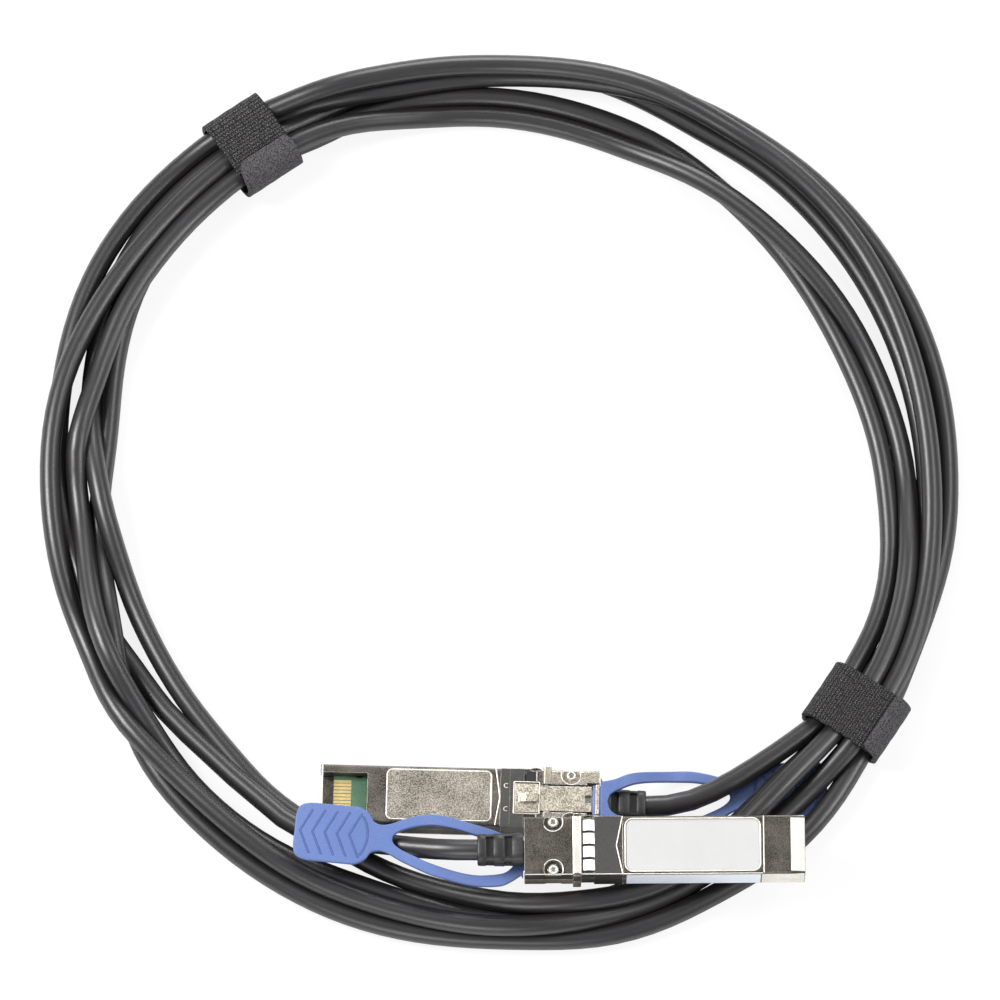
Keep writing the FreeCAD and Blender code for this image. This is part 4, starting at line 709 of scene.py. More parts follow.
def settle(points, fixed, sizes, ties):
    """Moves the turns apart until no two lie in each other, and down until they rest."""
    diameter = sizes.diameter / MM
    spacing = sizes.spacing / MM
    home = points.copy()
    count = len(points)
    # Points of one turn that are nearer than this number are the same stretch of cord
    near = int(2.5 * diameter / spacing) + 1
    whole = np.vstack([points, fixed])
    tree = solid_tree()
    for number in range(sizes.passes):
        if number % SEARCH_EVERY == 0:
            gaps = np.linalg.norm(whole[:count, None, :] - whole[None, :, :], axis=2)
            one, two = np.nonzero(gaps < diameter + 2 * spacing)
            chosen = (two > one) & ((two - one > near) | (two >= count))
            one, two = one[chosen], two[chosen]
        along = np.gradient(whole[:count], axis=0)
        along /= np.linalg.norm(along, axis=1)[:, None]
        apart = whole[one] - whole[two]
        ahead = (apart * along[one]).sum(1)
        across = apart - ahead[:, None] * along[one]
        distance = np.linalg.norm(across, axis=1)
        touching = (distance < diameter) & (abs(ahead) < 0.75 * spacing)
        push = across[touching] / np.maximum(distance[touching], 1e-3)[:, None]
        push *= (diameter - distance[touching])[:, None] * PUSH_SHARE
        push[:, :2] *= SIDE_SHARE
        shift = np.zeros_like(whole)
        share = np.zeros(len(whole))
        np.add.at(shift, one[touching], push)
        np.add.at(share, one[touching], 1)
        np.add.at(shift, two[touching], -push)
        np.add.at(share, two[touching], 1)
        shift /= np.maximum(share, 1)[:, None]
        body = whole[:count]
        body += shift[:count]
        pull = (home - body) * HOME_PULL
        pull[:, 2] = -SINK_STEP
        body += pull
        bend = body[:-4] - 4 * body[1:-3] + 6 * body[2:-2] - 4 * body[3:-1] + body[4:]
        body[2:-2] -= BEND_SHARE * bend
        if number % KEEP_OFF_EVERY == 0:
            keep_off(body, tree, diameter / 2)
        keep_in_ties(body, diameter / 2, ties)
        body[:, 2] = np.maximum(body[:, 2], diameter / 2)
    return whole[:count]


def nurbs_cord(name, points, radius):
    """A round cord on one open smooth spline."""
    data = bpy.data.curves.new(name, "CURVE")
    data.dimensions = "3D"
    spline = data.splines.new("NURBS")
    spline.points.add(len(points) - 1)
    for target, point in zip(spline.points, points):
        target.co = (*point, 1)
    spline.order_u = 3
    spline.use_endpoint_u = True
    spline.resolution_u = 2
    data.bevel_depth = radius
    data.bevel_resolution = 8
    data.use_fill_caps = True
    cord = bpy.data.objects.new(name, data)
    bpy.context.scene.collection.objects.link(cord)
    return cord


def bundle_sizes(context):
    """Half width and thickness of the straps and height of what they hold, in millimetres."""
    straps = context.scene.tie_sizes
    return {"half": straps.width / MM / 2, "thick": straps.thick / MM, "height": straps.height / MM}


class CABLE_OT_lay_cord(bpy.types.Operator):
    """Lays the cord from the rear boot through five turns to the front boot"""
    bl_idname = "cable.lay_cord"
    bl_label = "Lay cord"

    def execute(self, context):
        sizes = context.scene.cord_sizes
        diameter = sizes.diameter / MM
        spacing = sizes.spacing / MM
        start = [Vector(point) for point in (*REAR_EXIT, *REAR_LEAD)]
        end = [Vector(point) for point in (*FRONT_EXIT, *FRONT_LEAD)]
        turns = coil_points(diameter, spacing)
        leads = []
        for route in (start, end):
            for one, two in zip(route, route[1:]):
                steps = max(int((two - one).length / spacing), 1)
                leads += [one.lerp(two, number / steps) for number in range(steps)]
        turns = settle(turns, np.array(leads), sizes, bundle_sizes(context))
        points = start + [Vector(point) for point in turns[2:-2:2]] + end[::-1]
        points = [(COIL_MIDDLE + point) * MM for point in points]
        cord = nurbs_cord("cable_cord", points, sizes.diameter / 2)
        cord.data.materials.append(finish("cable_jacket"))
        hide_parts("cable_coil", "cable_lead_rear", "cable_lead_front")
        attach(cord, "root")
        return {"FINISHED"}


# Ties

def strap_outline(width, sizes, radius):
    """Rounded outline round the bundle: places across and up, with their outward directions."""
    half = width / 2
    low = sizes["thick"]
    high = low + sizes["height"]
    steps = 12
    outline = []
    for across, up, first in ((half - radius, high - radius, 90), (half - radius, low + radius, 0),
                              (radius - half, low + radius, -90), (radius - half, high - radius, 180)):
        for step in range(steps + 1):
            angle = math.radians(first - 90 * step / steps)
            normal = Vector((math.cos(angle), math.sin(angle)))
            outline.append((Vector((across, up)) + normal * radius, normal))
    return outline


def outline_lengths(outline):
    """Lengths from each place of a closed outline to the next."""
    return [(outline[(number + 1) % len(outline)][0] - place).length
            for number, (place, _) in enumerate(outline)]


def along_outline(outline, distance):
    """Place and outward direction at a distance along a closed outline."""
    lengths = outline_lengths(outline)
    distance %= sum(lengths)
    for number, length in enumerate(lengths):
        if distance <= length and length > 0:
            share = distance / length
            following = outline[(number + 1) % len(outline)]
            return (outline[number][0].lerp(following[0], share),
                    outline[number][1].lerp(following[1], share).normalized())
        distance -= length
    return outline[0]


def smooth_step(value, low, high):
    """Share from 0 to 1 of the way between two values, with soft ends."""
    share = min(max((value - low) / (high - low), 0), 1)
    return share * share * (3 - 2 * share)


def mesh_of(shape, name):
    """A mesh of what was built, with its faces turned outward."""
    bmesh.ops.recalc_face_normals(shape, faces=shape.faces)
    data = bpy.data.meshes.new(name)
    shape.to_mesh(data)
    shape.free()
    return data


def thicken(piece, thickness, edge):
    """Gives a piece made of one sheet its thickness, with its edges cut a little."""
    wall = piece.modifiers.new("wall", "SOLIDIFY")
    wall.thickness = thickness
    wall.offset = 0
    edges = piece.modifiers.new("edges", "BEVEL")
    edges.width = edge
    edges.segments = 2
    edges.limit_method = "ANGLE"


def strap(name, sizes):
    """A fabric strap laid round the bundle and lapped over itself."""
    direction, reach, width = TIE_PLACES[name]
    side, first, last, corners, pitch = TIE_LAPS[name]
    outline = strap_outline(width, sizes, STRAP_ROUND)
    if side > 0:
        outline = [(Vector((-place.x, place.y)), Vector((-normal.x, normal.y)))
                   for place, normal in outline]
    around = sum(outline_lengths(outline))
    top = width - 2 * STRAP_ROUND
    begin = first - STRAP_ROUND - top
    length = around + last - first
    half = sizes["half"]
    angle = math.radians(direction)
    out = Vector((math.cos(angle), math.sin(angle), 0))
    along = Vector((-out.y, out.x, 0))
    shape = bmesh.new()
    bmesh.ops.create_grid(shape, x_segments=STRAP_STEPS[0], y_segments=STRAP_STEPS[1], size=1.0)
    place_layer = shape.loops.layers.uv.new("strap")
    lap_layer = shape.verts.layers.float.new("lap")
    scale_layer = shape.verts.layers.float.new("knit_scale")
    spots = {}
    for corner in shape.verts:
        run = (corner.co.x + 1) / 2 * length
        cross = corner.co.y * half
        radius = corners[0] if cross > 0 else corners[1]
        over = max(abs(cross) - (half - radius), 0)
        end = length - radius + math.sqrt(max(radius ** 2 - over ** 2, 0))
        straight = length - END_SPAN
        if run > straight:
            run = straight + (run - straight) * (end - straight) / END_SPAN
        place, normal = along_outline(outline, begin + run)
        lift = sizes["thick"] / 2 + (sizes["thick"] + LAP_GAP) * smooth_step(
            run, around - LAP_CLIMB[0], around - LAP_CLIMB[1])
        lift += STRAP_WAVE * math.sin(run * 1.7 + cross * 0.5) * math.sin(cross * 0.9 + 1)
        place = place + normal * lift
        place.y = max(place.y, sizes["thick"] / 2 + 0.05)
        corner[lap_layer] = smooth_step(run, around - LAP_LOOK[0], around - LAP_LOOK[1])
        corner[scale_layer] = 1 / (pitch * MM)
        spots[corner] = (run * MM * KNIT_STRETCH[0], cross * MM * KNIT_STRETCH[1])
        position = COIL_MIDDLE + out * (reach + place.x) + along * cross
        corner.co = Vector((position.x, position.y, place.y)) * MM
    for face in shape.faces:
        face.smooth = True
        for loop in face.loops:
            loop[place_layer].uv = spots[loop.vert]
    data = mesh_of(shape, name)
    piece = bpy.data.objects.new(f"{name}_strap", data)
    bpy.context.scene.collection.objects.link(piece)
    thicken(piece, sizes["thick"] * MM, STRAP_EDGE)
    data.materials.append(finish("tie_fabric"))
    return piece, length * MM


class CABLE_OT_wrap_ties(bpy.types.Operator):
    """Wraps a hook and loop strap round the bundle at each tie"""
    bl_idname = "cable.wrap_ties"
    bl_label = "Wrap ties"

    def execute(self, context):
        sizes = bundle_sizes(context)
        for name in TIE_PLACES:
            piece, length = strap(name, sizes)
            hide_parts(name)
            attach(piece, "root")
        return {"FINISHED"}


# Plugs

def plug_matrix(plug):
    """Turn and place of a plug, whose length runs from its nose along X, in millimetres."""
    nose, turn, flipped = PLUG_PLACES[plug]
    matrix = Matrix.Translation(nose) @ Matrix.Rotation(math.radians(turn), 4, "Z")
    if flipped:
        matrix = matrix @ Matrix.Rotation(math.pi, 4, "X")
    return matrix


def new_piece(name, data, material, body):
    """An object of a mesh or curve, with its finish and body."""
    piece = bpy.data.objects.new(name, data)
    bpy.context.scene.collection.objects.link(piece)
    data.materials.append(finish(material))
    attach(piece, body)
    return piece


def smooth_line(points, steps):
    """A smooth line through places, with this many steps between two of them."""
    line = []
    for number in range(len(points) - 1):
        before = points[max(number - 1, 0)]
        low, high = points[number], points[number + 1]
        after = points[min(number + 2, len(points) - 1)]
        for step in range(steps):
            share = step / steps
            spot = []
            for a, b, c, d in zip(before, low, high, after):
                spot.append(0.5 * (2 * b + (c - a) * share + (2 * a - 5 * b + 4 * c - d) * share ** 2
                                   + (3 * b - a - 3 * c + d) * share ** 3))
            line.append(tuple(spot))
    line.append(tuple(points[-1]))
    return line


def mirrored_loop(half, inset):
    """A closed plan from its half above the axis, moved inward or outward by an inset."""
    line = smooth_line(half, TAB_STEPS)
    lower = [(x, -y) for x, y in reversed(line)]
    loop = line + (lower[1:] if abs(line[-1][1]) < 1e-6 else lower)
    if abs(loop[0][1] - loop[-1][1]) < 1e-6:
        loop = loop[:-1]
    moved = []
    for number, spot in enumerate(loop):
        before = Vector(loop[number - 1])
        after = Vector(loop[(number + 1) % len(loop)])
        ahead = (after - before).normalized()
        moved.append((spot[0] + ahead.y * inset, spot[1] - ahead.x * inset))
    return moved


def bent_place(spot, level, plug):
    """Where a place of the flat tab goes when it is bent, in the plug's own frame."""
    turn, rise, first, last, sway = TAB_BENDS[plug]
    angle = math.radians(turn) * smooth_step(spot[0], *TURN_SPAN)
    x = spot[0] * math.cos(angle) - spot[1] * math.sin(angle)
    y = spot[0] * math.sin(angle) + spot[1] * math.cos(angle)
    y += sway * smooth_step(spot[0], *SWAY_GROWS) * (1 - smooth_step(spot[0], *SWAY_GOES))
    lift = rise * smooth_step(spot[0], first - 1.0, last + 1.0)
    return Vector((PLUG_END + x, y, TAB_LEVEL + lift + level))


def tab_mesh(plug):
    """The tab's rounded plate with its open loop, bent and laid in place."""
    data = bpy.data.curves.new(f"{plug}_tab_plan", "CURVE")
    data.dimensions = "2D"
    data.fill_mode = "BOTH"
    data.extrude = TAB_THICK / 2 - TAB_ROUND
    data.bevel_depth = TAB_ROUND
    data.bevel_resolution = 3
    for half, inset in ((TAB_OUTSIDE, TAB_ROUND), (TAB_INSIDE, -TAB_ROUND)):
        loop = mirrored_loop(half, inset)
        spline = data.splines.new("POLY")
        spline.points.add(len(loop) - 1)
        spline.use_cyclic_u = True
        for target, spot in zip(spline.points, loop):
            target.co = (*spot, 0, 1)
    plan = bpy.data.objects.new(f"{plug}_tab_plan", data)
    mesh = bpy.data.meshes.new_from_object(plan)
    bpy.data.objects.remove(plan)
    matrix = plug_matrix(plug)
    shape = bmesh.new()
    shape.from_mesh(mesh)
    bmesh.ops.remove_doubles(shape, verts=shape.verts, dist=0.001)
    reach, last, distance = TAB_CUTS
    while reach < last:
        bmesh.ops.bisect_plane(shape, geom=shape.verts[:] + shape.edges[:] + shape.faces[:],
                               plane_co=(reach, 0, 0), plane_no=(1, 0, 0), dist=0.0001)
        reach += distance
    bmesh.ops.triangulate(shape, faces=shape.faces)
    root = bmesh.ops.create_cube(shape, size=1.0)["verts"]
    length, width, middle = TAB_ROOT
    for corner in root:
        corner.co = Vector((corner.co.x * length + middle, corner.co.y * width,
                            corner.co.z * (TAB_THICK - 0.04)))
    plans = shape.loops.layers.uv.new("plan")
    for face in shape.faces:
        face.smooth = True
        for loop in face.loops:
            loop[plans].uv = loop.vert.co.xy
    for corner in shape.verts:
        corner.co = matrix @ bent_place(corner.co.xy, corner.co.z + TAB_THICK / 2, plug) * MM
    bmesh.ops.recalc_face_normals(shape, faces=shape.faces)
    shape.to_mesh(mesh)
    shape.free()
    return mesh


class CABLE_OT_mould_tabs(bpy.types.Operator):
    """Moulds the two pull tabs with rounded edges"""
    bl_idname = "cable.mould_tabs"
    bl_label = "Mould tabs"

    def execute(self, context):
        for plug in PLUG_PLACES:
            piece = new_piece(f"{plug}_tab_moulding", tab_mesh(plug), "blue_plastic",
                              f"{plug}_release")
            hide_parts(f"{plug}_pull_tab")
            piece.modifiers.new("normals", "WEIGHTED_NORMAL")
        return {"FINISHED"}


def boot_mesh(plug):
    """The boot outside the shells: a tapering rounded block with two rings of slots."""
    lip, wall, cut = 0.25, 0.02, 0.1
    # Each station: place along the plug, how far its section is drawn in, and whether a slot is there
    stations = [(BOOT_ENDS[0], 0, 0), (BOOT_ENDS[0] + 0.3, 0, 0)]
    for first, last in BOOT_SLOTS:
        stations += [(first - lip, 0, 0), (first - wall, cut, 0), (first + wall, cut, 1),
                     (last - wall, cut, 1), (last + wall, cut, 0), (last + lip, 0, 0)]
    stations += [(BOOT_ENDS[1] - 0.35, 0, 0), (BOOT_ENDS[1] - 0.1, 0.1, 0), (BOOT_ENDS[1], 0.4, 0)]
    shape = bmesh.new()
    bmesh.ops.create_grid(shape, x_segments=len(stations) - 1, y_segments=BOOT_AROUND, size=1.0)
    for corner in shape.verts:
        x, drawn, sunk = stations[round((corner.co.x + 1) / 2 * (len(stations) - 1))]
        angle = math.pi * (corner.co.y + 1)
        share = (x - BOOT_ENDS[0]) / (BOOT_ENDS[1] - BOOT_ENDS[0])
        half_y, half_z = (low + (high - low) * share - drawn
                          for low, high in zip(*BOOT_HALF))
        y, z = math.cos(angle), math.sin(angle)
        reach = (abs(y) ** BOOT_POWER + abs(z) ** BOOT_POWER) ** (-1 / BOOT_POWER)
        y, z = y * reach * half_y, z * reach * half_z
        if sunk and abs(y) < SLOT_FLAT[0]:
            z = math.copysign(half_z - SLOT_FLAT[1], z)
        elif sunk and abs(z) < SLOT_SIDE[0]:
            y = math.copysign(half_y - SLOT_SIDE[1], y)
        corner.co = plug_matrix(plug) @ Vector((x, y, CABLE_LEVEL + z)) * MM
    bmesh.ops.remove_doubles(shape, verts=shape.verts, dist=0.000001)
    bmesh.ops.holes_fill(shape, edges=[edge for edge in shape.edges if edge.is_boundary])
    for face in shape.faces:
        face.smooth = True
    data = mesh_of(shape, f"{plug}_boot")
    data.set_sharp_from_angle(angle=math.radians(35))
    return data


class CABLE_OT_mould_boots(bpy.types.Operator):
    """Moulds the strain relief boots with their rings of slots"""
    bl_idname = "cable.mould_boots"
    bl_label = "Mould boots"

    def execute(self, context):
        for plug in PLUG_PLACES:
            piece = new_piece(f"{plug}_boot", boot_mesh(plug), "black_boot", "root")
            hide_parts(f"{plug}_strain_relief")
        return {"FINISHED"}


# Trims of each side of a plug, whose pale finish is a painted highlight on the edges, rims and marks: a
# line through places along and across the plug, its radius, whether it closes, the radius that its corners
# are cut to, and its depth under the face
LABEL_SIDE_LINES = {
    "chevron": (((40.55, -6.65), (41.95, 0.0), (40.55, 6.65)), 0.15, False, 0.0, 0.0),
    "step": (((9.2, -6.5), (9.2, 6.5)), 0.14, False, 0.0, 0.0),
    "rim": (((9.95, -6.05), (40.0, -6.05), (40.0, 6.05), (9.95, 6.05)), 0.15, True, 1.7, 0.0),
    "edge": (((9.5, 6.62), (62.2, 6.62)), 0.1, False, 0.0, 0.0),
}
LATCH_SIDE_LINES = {
    "chevron": (((39.2, -6.5), (40.2, 0.0), (39.2, 6.5)), 0.17, False, 0.0, 0.0),
    "rim": (((14.9, -5.75), (38.2, -5.75), (38.2, 5.75), (14.9, 5.75)), 0.17, True, 1.2, -0.28),
    "nose": (((0.4, -6.4), (0.4, 6.4)), 0.22, False, 0.0, 0.0),
    "frame": (((43.3, -3.65), (49.0, -3.65), (49.0, 3.65), (43.3, 3.65)), 0.12, True, 0.1, 0.0),
    "bead": (((50.15, -6.55), (50.15, -3.9)), 0.3, False, 0.0, 0.0),
    "second_bead": (((50.15, 3.9), (50.15, 6.55)), 0.3, False, 0.0, 0.0),
}
SCREW_PLACE = (56.0, 5.45)
SCREW_RIM = 2.2
SCREW_RING = 0.8
SCREW_DEPTH = 0.3
SCREW_ARC = (-25, -205)
MARK_PLACE = (41.6, 2.7)
MARK_RADIUS = 0.5
MARK_ARC = (50, 310)
# Radius of the line of each screw's rim, each screw's ring and each mark
RIM_LINE = 0.13
RING_LINE = 0.2
MARK_LINE = 0.1
# Corners of the opening beside the latch and of the raised plate, seen from the latch side
HATCH = ((46.0, 3.9), (48.2, 6.1))
HATCH_LIP = 0.22
PLATE = ((14.9, -5.75), (38.2, 5.75))
# Contact pads: their ends along the plug, pitch, width and number, and the board's two faces
PAD_ROW = ((2.95, 6.85), 0.8, 0.62, 10)
PAD_LEVELS = (3.25, 4.3)
# Plates on each plug: finish, slot, cut of the rims, rounding of the corners, how far the nose end
# drops, and the blocks from one corner to the other
PLATES = {
    "tail_bar": ("plated_latch", "plated_casting", 0.1, 0.0, 0.0,
                 [((61.55, -3.45, 0.03), (62.35, 3.45, 0.36))]),
    # Painted sheen on the raised plate, in a paler copy of the casting
    "raised_plate": ("pale_casting", "plated_casting", 0.04, 1.2, 0.0,
                     [((*PLATE[0], -0.38), (*PLATE[1], 0.3))]),
    # Painted highlight on the stop ridge
    "ridge_highlight": ("painted_highlight", "plated_casting", 0.25, 0.0, 0.0,
                   [((49.75, -6.66, 8.2), (51.65, 6.66, 9.03))]),
    # Painted highlight on the nose sides and the nose bevel
    "nose_side_highlight": ("nose_highlight", "plated_casting", 0.0, 0.0, 0.0,
                   [((0.2, 6.6, 0.6), (9.6, 6.74, 7.9)),
                    ((0.2, -6.74, 0.6), (9.6, -6.6, 7.9))]),
    "nose_bevel_highlight": ("nose_highlight", "plated_casting", 0.0, 0.0, 0.55,
                   [((0.1, -6.1, 8.4), (3.2, 6.1, 8.54))]),
    "collar_band": ("bright_sheet", "bright_sheet", 0.0, 0.0, 0.0,
                    [((40.25, -6.65, -0.05), (42.4, 6.65, 0.1))]),
    # Painted shade: near-black plates over the openings beside the latch
    "hatch_shade": ("hole_shade", "plated_casting", 0.0, 0.0, 0.0,
                [((HATCH[0][0], HATCH[0][1], -0.06), (HATCH[1][0], HATCH[1][1], 0.1)),
                 ((HATCH[0][0], -HATCH[1][1], -0.06), (HATCH[1][0], -HATCH[0][1], 0.1))]),
    # Painted highlight on the lit lip of each opening
    "hatch_lip_highlight": ("painted_highlight", "plated_casting", 0.0, 0.0, 0.0,
                   [((HATCH[1][0], HATCH[0][1], -0.1), (HATCH[1][0] + HATCH_LIP, HATCH[1][1], 0.1)),
                    ((HATCH[1][0], -HATCH[1][1], -0.1),
                     (HATCH[1][0] + HATCH_LIP, -HATCH[0][1], 0.1))]),
}
SIDE_LABEL = ((9.9, 6.7, 0.75), (39.7, 6.8, 7.85))


def rounded_corners(spots, radius):
    """A closed line through corners, each cut round."""
    steps = 8
    line = []
    for number, spot in enumerate(spots):
        corner = Vector(spot)
        before = (Vector(spots[number - 1]) - corner).normalized()
        after = (Vector(spots[(number + 1) % len(spots)]) - corner).normalized()
        centre = corner + (before + after) * radius
        for step in range(steps + 1):
            angle = math.pi / 2 * step / steps
            line.append(centre - (after * math.cos(angle) + before * math.sin(angle)) * radius)
    return line


def arc_line(centre, radius, first, last, steps=16):
    """Places along an arc, with its angles in degrees."""
    line = []
    for step in range(steps + 1):
        angle = math.radians(first + (last - first) * step / steps)
        line.append((centre[0] + radius * math.cos(angle), centre[1] + radius * math.sin(angle)))
    return line


def trim_lines(side):
    """The lines of one side of a plug, with the screws' rims and the stamped marks."""
    lines = []
    table = LABEL_SIDE_LINES if side == "label" else LATCH_SIDE_LINES
    for spots, radius, closed, cut, depth in table.values():
        lines.append((rounded_corners(spots, cut) if closed else spots, radius, closed, depth))
    for sign in (-1, 1):
        place = (SCREW_PLACE[0], SCREW_PLACE[1] * sign)
        first, last = SCREW_ARC
        lines.append((arc_line(place, SCREW_RIM, first * sign, last * sign), RIM_LINE, False, 0.0))
        lines.append((arc_line(place, SCREW_RING, 0, 337.5, 15), RING_LINE, True, SCREW_DEPTH))
        if side == "latch":
            place = (MARK_PLACE[0], MARK_PLACE[1] * sign)
            lines.append((arc_line(place, MARK_RADIUS, *MARK_ARC), MARK_LINE, False, 0.0))
    return lines


class CABLE_OT_add_trims(bpy.types.Operator):
    """Adds the raised lines round the labels, plates and collar edges, in a pale finish that paints their
    highlight
    """
    bl_idname = "cable.add_trims"
    bl_label = "Add trims"

    def execute(self, context):
        for plug in PLUG_PLACES:
            matrix = plug_matrix(plug)
            for side, level, inward in (("label", LABEL_LEVEL, -1), ("latch", 0.0, 1)):
                data = bpy.data.curves.new(f"{plug}_{side}_trim", "CURVE")
                data.dimensions = "3D"
                data.bevel_resolution = 3
                data.use_fill_caps = True
                data.bevel_depth = 0.0001
                for spots, radius, closed, depth in trim_lines(side):
                    spline = data.splines.new("POLY")
                    spline.points.add(len(spots) - 1)
                    spline.use_cyclic_u = closed
                    for target, spot in zip(spline.points, spots):
                        height = level + inward * depth
                        place = matrix @ Vector((spot[0], spot[1], height)) * MM
                        target.co = (*place, 1)
                        target.radius = radius * MM / data.bevel_depth
                # Painted highlight: the trims take the pale highlight finish
                new_piece(f"{plug}_{side}_trim", data, "painted_highlight", "root")
        return {"FINISHED"}


def plate_mesh(name, matrix, blocks, rim=0.0, corner=0.0, drop=0.0):
    """Thin blocks on a plug's face in one mesh, with their rims cut and corners rounded."""
    shape = bmesh.new()
    for low, high in blocks:
        block = bmesh.new()
        made = bmesh.ops.create_cube(block, size=1.0)["verts"]
        for place in made:
            share = place.co + Vector((0.5, 0.5, 0.5))
            place.co = Vector(low) + share * (Vector(high) - Vector(low))
        if corner:
            sides = [edge for edge in block.edges
                     if abs(edge.verts[0].co.z - edge.verts[1].co.z) > (high[2] - low[2]) / 2]
            bmesh.ops.bevel(block, geom=sides, offset=corner, segments=6, profile=0.5,
                            affect="EDGES", material=-1)
        if rim:
            rims = [edge for edge in block.edges
                    if abs(edge.verts[0].co.z - edge.verts[1].co.z) < (high[2] - low[2]) / 2]
            bmesh.ops.bevel(block, geom=rims, offset=rim, segments=2, profile=0.5,
                            affect="EDGES", material=-1)
        spare = bpy.data.meshes.new("block")
        block.to_mesh(spare)
        block.free()
        shape.from_mesh(spare)
        bpy.data.meshes.remove(spare)
    low_x = min(place.co.x for place in shape.verts)
    high_x = max(place.co.x for place in shape.verts)
    for place in shape.verts:
        place.co.z -= drop * (high_x - place.co.x) / (high_x - low_x)
        place.co = matrix @ place.co * MM
    return mesh_of(shape, name)


def pad_blocks(levels):
    """Contact pads side by side on both faces of the board."""
    (first, last), pitch, width, count = PAD_ROW
    blocks = []
    for level in levels:
        for number in range(count):
            middle = (number - (count - 1) / 2) * pitch
            blocks.append(((first, middle - width / 2, level),
                           (last, middle + width / 2, level + 0.05)))
    return blocks


class CABLE_OT_add_plates(bpy.types.Operator):
    """Adds raised plates, tail bars, nose bevels, contact pads and the taller side label"""
    bl_idname = "cable.add_plates"
    bl_label = "Add plates"

    def execute(self, context):
        for plug in PLUG_PLACES:
            matrix = plug_matrix(plug)
            for kind, (material, slot, rim, corner, drop, blocks) in PLATES.items():
                data = plate_mesh(f"{plug}_{kind}", matrix, blocks, rim, corner, drop)
                new_piece(f"{plug}_{kind}", data, material, "root")
            data = plate_mesh(f"{plug}_pads", matrix, pad_blocks(PAD_LEVELS))
            piece = new_piece(f"{plug}_pads", data, "gilded_pads", "root")
            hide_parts(f"{plug}_contact_pads")
        data = plate_mesh("side_label_film", plug_matrix("front"), [SIDE_LABEL])
        piece = new_piece("side_label_film", data, "pale_label", "root")
        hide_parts("front_side_label")
        return {"FINISHED"}


class CABLE_OT_add_fingers(bpy.types.Operator):
    """Adds the four bowed spring fingers on the label side of each collar"""
    bl_idname = "cable.add_fingers"
    bl_label = "Add fingers"

    def execute(self, context):
        for plug in PLUG_PLACES:
            matrix = plug_matrix(plug)
            shape = bmesh.new()
            for place in (-1.5, -0.5, 0.5, 1.5):
                grown = bmesh.ops.create_grid(shape, x_segments=10, y_segments=2, size=1.0)
                for corner in grown["verts"]:
                    share = (corner.co.x + 1) / 2
                    corner.co = Vector((
                        FINGER_START + share * (FINGER_END - FINGER_START),
                        place * FINGER_PITCH + corner.co.y * FINGER_WIDTH / 2,
                        LABEL_LEVEL + FINGER_RISE * math.sin(math.pi * share) - FINGER_SINK))
            for corner in shape.verts:
                corner.co = matrix @ corner.co * MM
            for face in shape.faces:
                face.smooth = True
            data = mesh_of(shape, f"{plug}_label_fingers")
            # Painted sheen: the fingers' finish is near white so that they look evenly bright
            piece = new_piece(f"{plug}_label_fingers", data, "finger_sheet", "root")
            thicken(piece, FINGER_THICK, FINGER_EDGE)
        return {"FINISHED"}


class CABLE_OT_finish_solids(bpy.types.Operator):
    """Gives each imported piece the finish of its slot, and the base shells a finish of their own"""
    bl_idname = "cable.finish_solids"
    bl_label = "Finish solids"

    def execute(self, context):
        made = make_materials()
        slot_of = {part["node"]: part["material_slot"] for part in frame["record"]["subparts"]}
        for name, node in frame["nodes"].items():
            key = slot_of[name]
            if name.endswith("base_shell"):
                key = name.replace("base_shell", "casting")
            node.data.materials.clear()
            node.data.materials.append(made[key])
        return {"FINISHED"}


# Stage

# Half of the floor's width, and the light on the object from all round
FLOOR_HALF = 3.0
ROUND_LIGHT = ((0.93, 0.95, 1.0, 1), 0.34)
# Lamps: place from the middle of the picture, width and power
LAMPS = {
    "key": ((-0.80, 0.16, 0.95), 0.42, 16),
    "fill": ((0.85, -0.3, 0.7), 0.5, 6),
    "right": ((0.62, 0.33, 0.95), 0.34, 3),
    "rim": ((0.1, 1.05, 0.6), 0.6, 9),
    "front": ((-0.25, -1.0, 0.6), 0.5, 4),
}


def area_light(name, place, target, width, energy):
    """A square lamp that looks at a place."""
    data = bpy.data.lights.new(name, "AREA")
    data.shape = "SQUARE"
    data.size = width
    data.energy = energy
    lamp = bpy.data.objects.new(name, data)
    lamp.location = place
    lamp.rotation_euler = (target - place).to_track_quat("-Z", "Y").to_euler()
    bpy.context.scene.collection.objects.link(lamp)


def camera_sees(tree):
    """Whether a ray comes from the camera, also through something clear."""
    paths = tree.nodes.new("ShaderNodeLightPath")
    return add_math(tree, "MAXIMUM", paths.outputs["Is Camera Ray"],
                    paths.outputs["Is Transmission Ray"])


def backdrop_world():
    """White to the camera and through clear things, a softer light on the object and in its reflections.
    """
    world = bpy.data.worlds.new("studio")
    bpy.context.scene.world = world
    world.use_nodes = True
    tree = world.node_tree
    tree.nodes.clear()
    seen = camera_sees(tree)
    mixer = tree.nodes.new("ShaderNodeMixShader")
    lit = tree.nodes.new("ShaderNodeBackground")
    lit.inputs["Color"].default_value, lit.inputs["Strength"].default_value = ROUND_LIGHT
    shown = tree.nodes.new("ShaderNodeBackground")
    shown.inputs["Color"].default_value = (1, 1, 1, 1)
    shown.inputs["Strength"].default_value = 1.0
    leave = tree.nodes.new("ShaderNodeOutputWorld")
    tree.links.new(seen, mixer.inputs["Fac"])
    tree.links.new(lit.outputs["Background"], mixer.inputs[1])
    tree.links.new(shown.outputs["Background"], mixer.inputs[2])
    tree.links.new(mixer.outputs["Shader"], leave.inputs["Surface"])


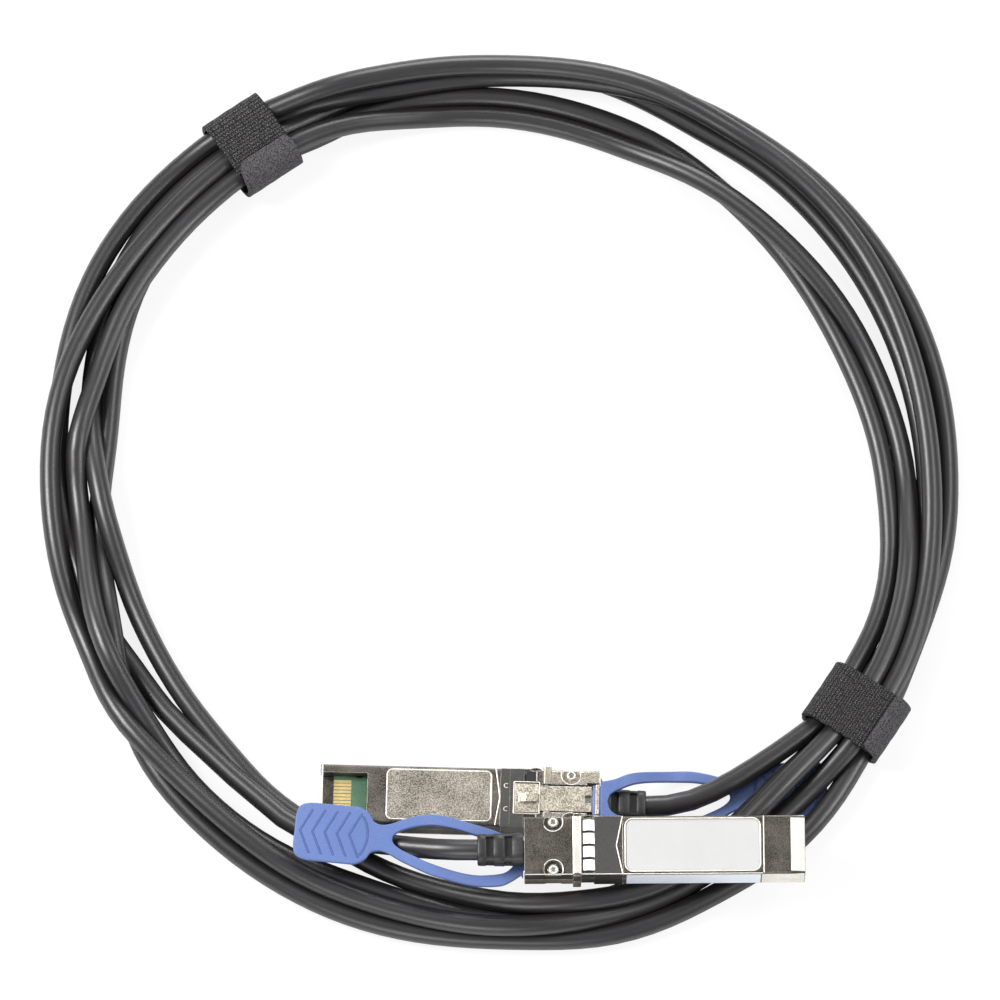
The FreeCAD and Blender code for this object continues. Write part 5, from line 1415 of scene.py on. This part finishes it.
def floor_material():
    """A pale floor that shows as white and still darkens under the object."""
    white_share = 0.86
    material, tree, shader, place = new_material("pale_floor")
    shader.inputs["Roughness"].default_value = 0.9
    noise = add_noise(tree, place, 300.0)
    tree.links.new(add_mix(tree, noise, (0.80, 0.80, 0.80, 1), (0.84, 0.84, 0.84, 1)),
                   shader.inputs["Base Color"])
    glow = tree.nodes.new("ShaderNodeEmission")
    glow.inputs["Strength"].default_value = 1.0
    seen = camera_sees(tree)
    mixer = tree.nodes.new("ShaderNodeMixShader")
    tree.links.new(add_math(tree, "MULTIPLY", seen, white_share), mixer.inputs["Fac"])
    tree.links.new(shader.outputs["BSDF"], mixer.inputs[1])
    tree.links.new(glow.outputs["Emission"], mixer.inputs[2])
    tree.links.new(mixer.outputs["Shader"], tree.nodes["Material Output"].inputs["Surface"])
    return material


class CABLE_OT_set_stage(bpy.types.Operator):
    """Places the floor, the lamps and the camera"""
    bl_idname = "cable.set_stage"
    bl_label = "Set stage"

    def execute(self, context):
        sizes = context.scene.stage_sizes
        scene = context.scene
        scene.view_settings.view_transform = "Standard"
        shape = bmesh.new()
        bmesh.ops.create_grid(shape, x_segments=1, y_segments=1, size=FLOOR_HALF)
        data = mesh_of(shape, "floor")
        floor = bpy.data.objects.new("floor", data)
        data.materials.append(floor_material())
        scene.collection.objects.link(floor)
        backdrop_world()
        target = (COIL_MIDDLE + Vector((0, AIM_SHIFT, 0))) * MM
        for name, (place, width, energy) in LAMPS.items():
            area_light(name, target + Vector(place), target, width, energy)
        data = bpy.data.cameras.new("camera")
        data.sensor_width = 36
        data.lens = data.sensor_width * sizes.distance / sizes.view_width
        camera = bpy.data.objects.new("camera", data)
        back = Vector((0, -math.cos(CAMERA_ELEVATION), math.sin(CAMERA_ELEVATION)))
        camera.location = target + back * sizes.distance
        camera.rotation_euler = (-back).to_track_quat("-Z", "Y").to_euler()
        scene.collection.objects.link(camera)
        scene.camera = camera
        return {"FINISHED"}


OPERATORS = (CABLE_OT_finish_solids, CABLE_OT_add_fingers, CABLE_OT_add_trims, CABLE_OT_add_plates,
             CABLE_OT_mould_tabs, CABLE_OT_mould_boots, CABLE_OT_lay_cord, CABLE_OT_wrap_ties,
             CABLE_OT_set_stage)


# Panel and start

class CABLE_PT_panel(bpy.types.Panel):
    """Lists the sizes and steps of the cable"""
    bl_idname = "CABLE_PT_panel"
    bl_label = "Direct attach cable"
    bl_space_type = "VIEW_3D"
    bl_region_type = "UI"
    bl_category = "Cable"

    def draw(self, context):
        for group, kind in SETTINGS.items():
            for name in kind.__annotations__:
                self.layout.prop(getattr(context.scene, group), name)
        for operator in OPERATORS:
            self.layout.operator(operator.bl_idname)


def register():
    for kind in (*SETTINGS.values(), *OPERATORS, CABLE_PT_panel):
        bpy.utils.register_class(kind)
    for group, kind in SETTINGS.items():
        setattr(bpy.types.Scene, group, bpy.props.PointerProperty(type=kind))


def unregister():
    for group in SETTINGS:
        delattr(bpy.types.Scene, group)
    for kind in reversed((*SETTINGS.values(), *OPERATORS, CABLE_PT_panel)):
        bpy.utils.unregister_class(kind)


def main():
    register()
    for operator in OPERATORS:
        area, name = operator.bl_idname.split(".")
        getattr(getattr(bpy.ops, area), name)()


if __name__ == "__main__":
    main()
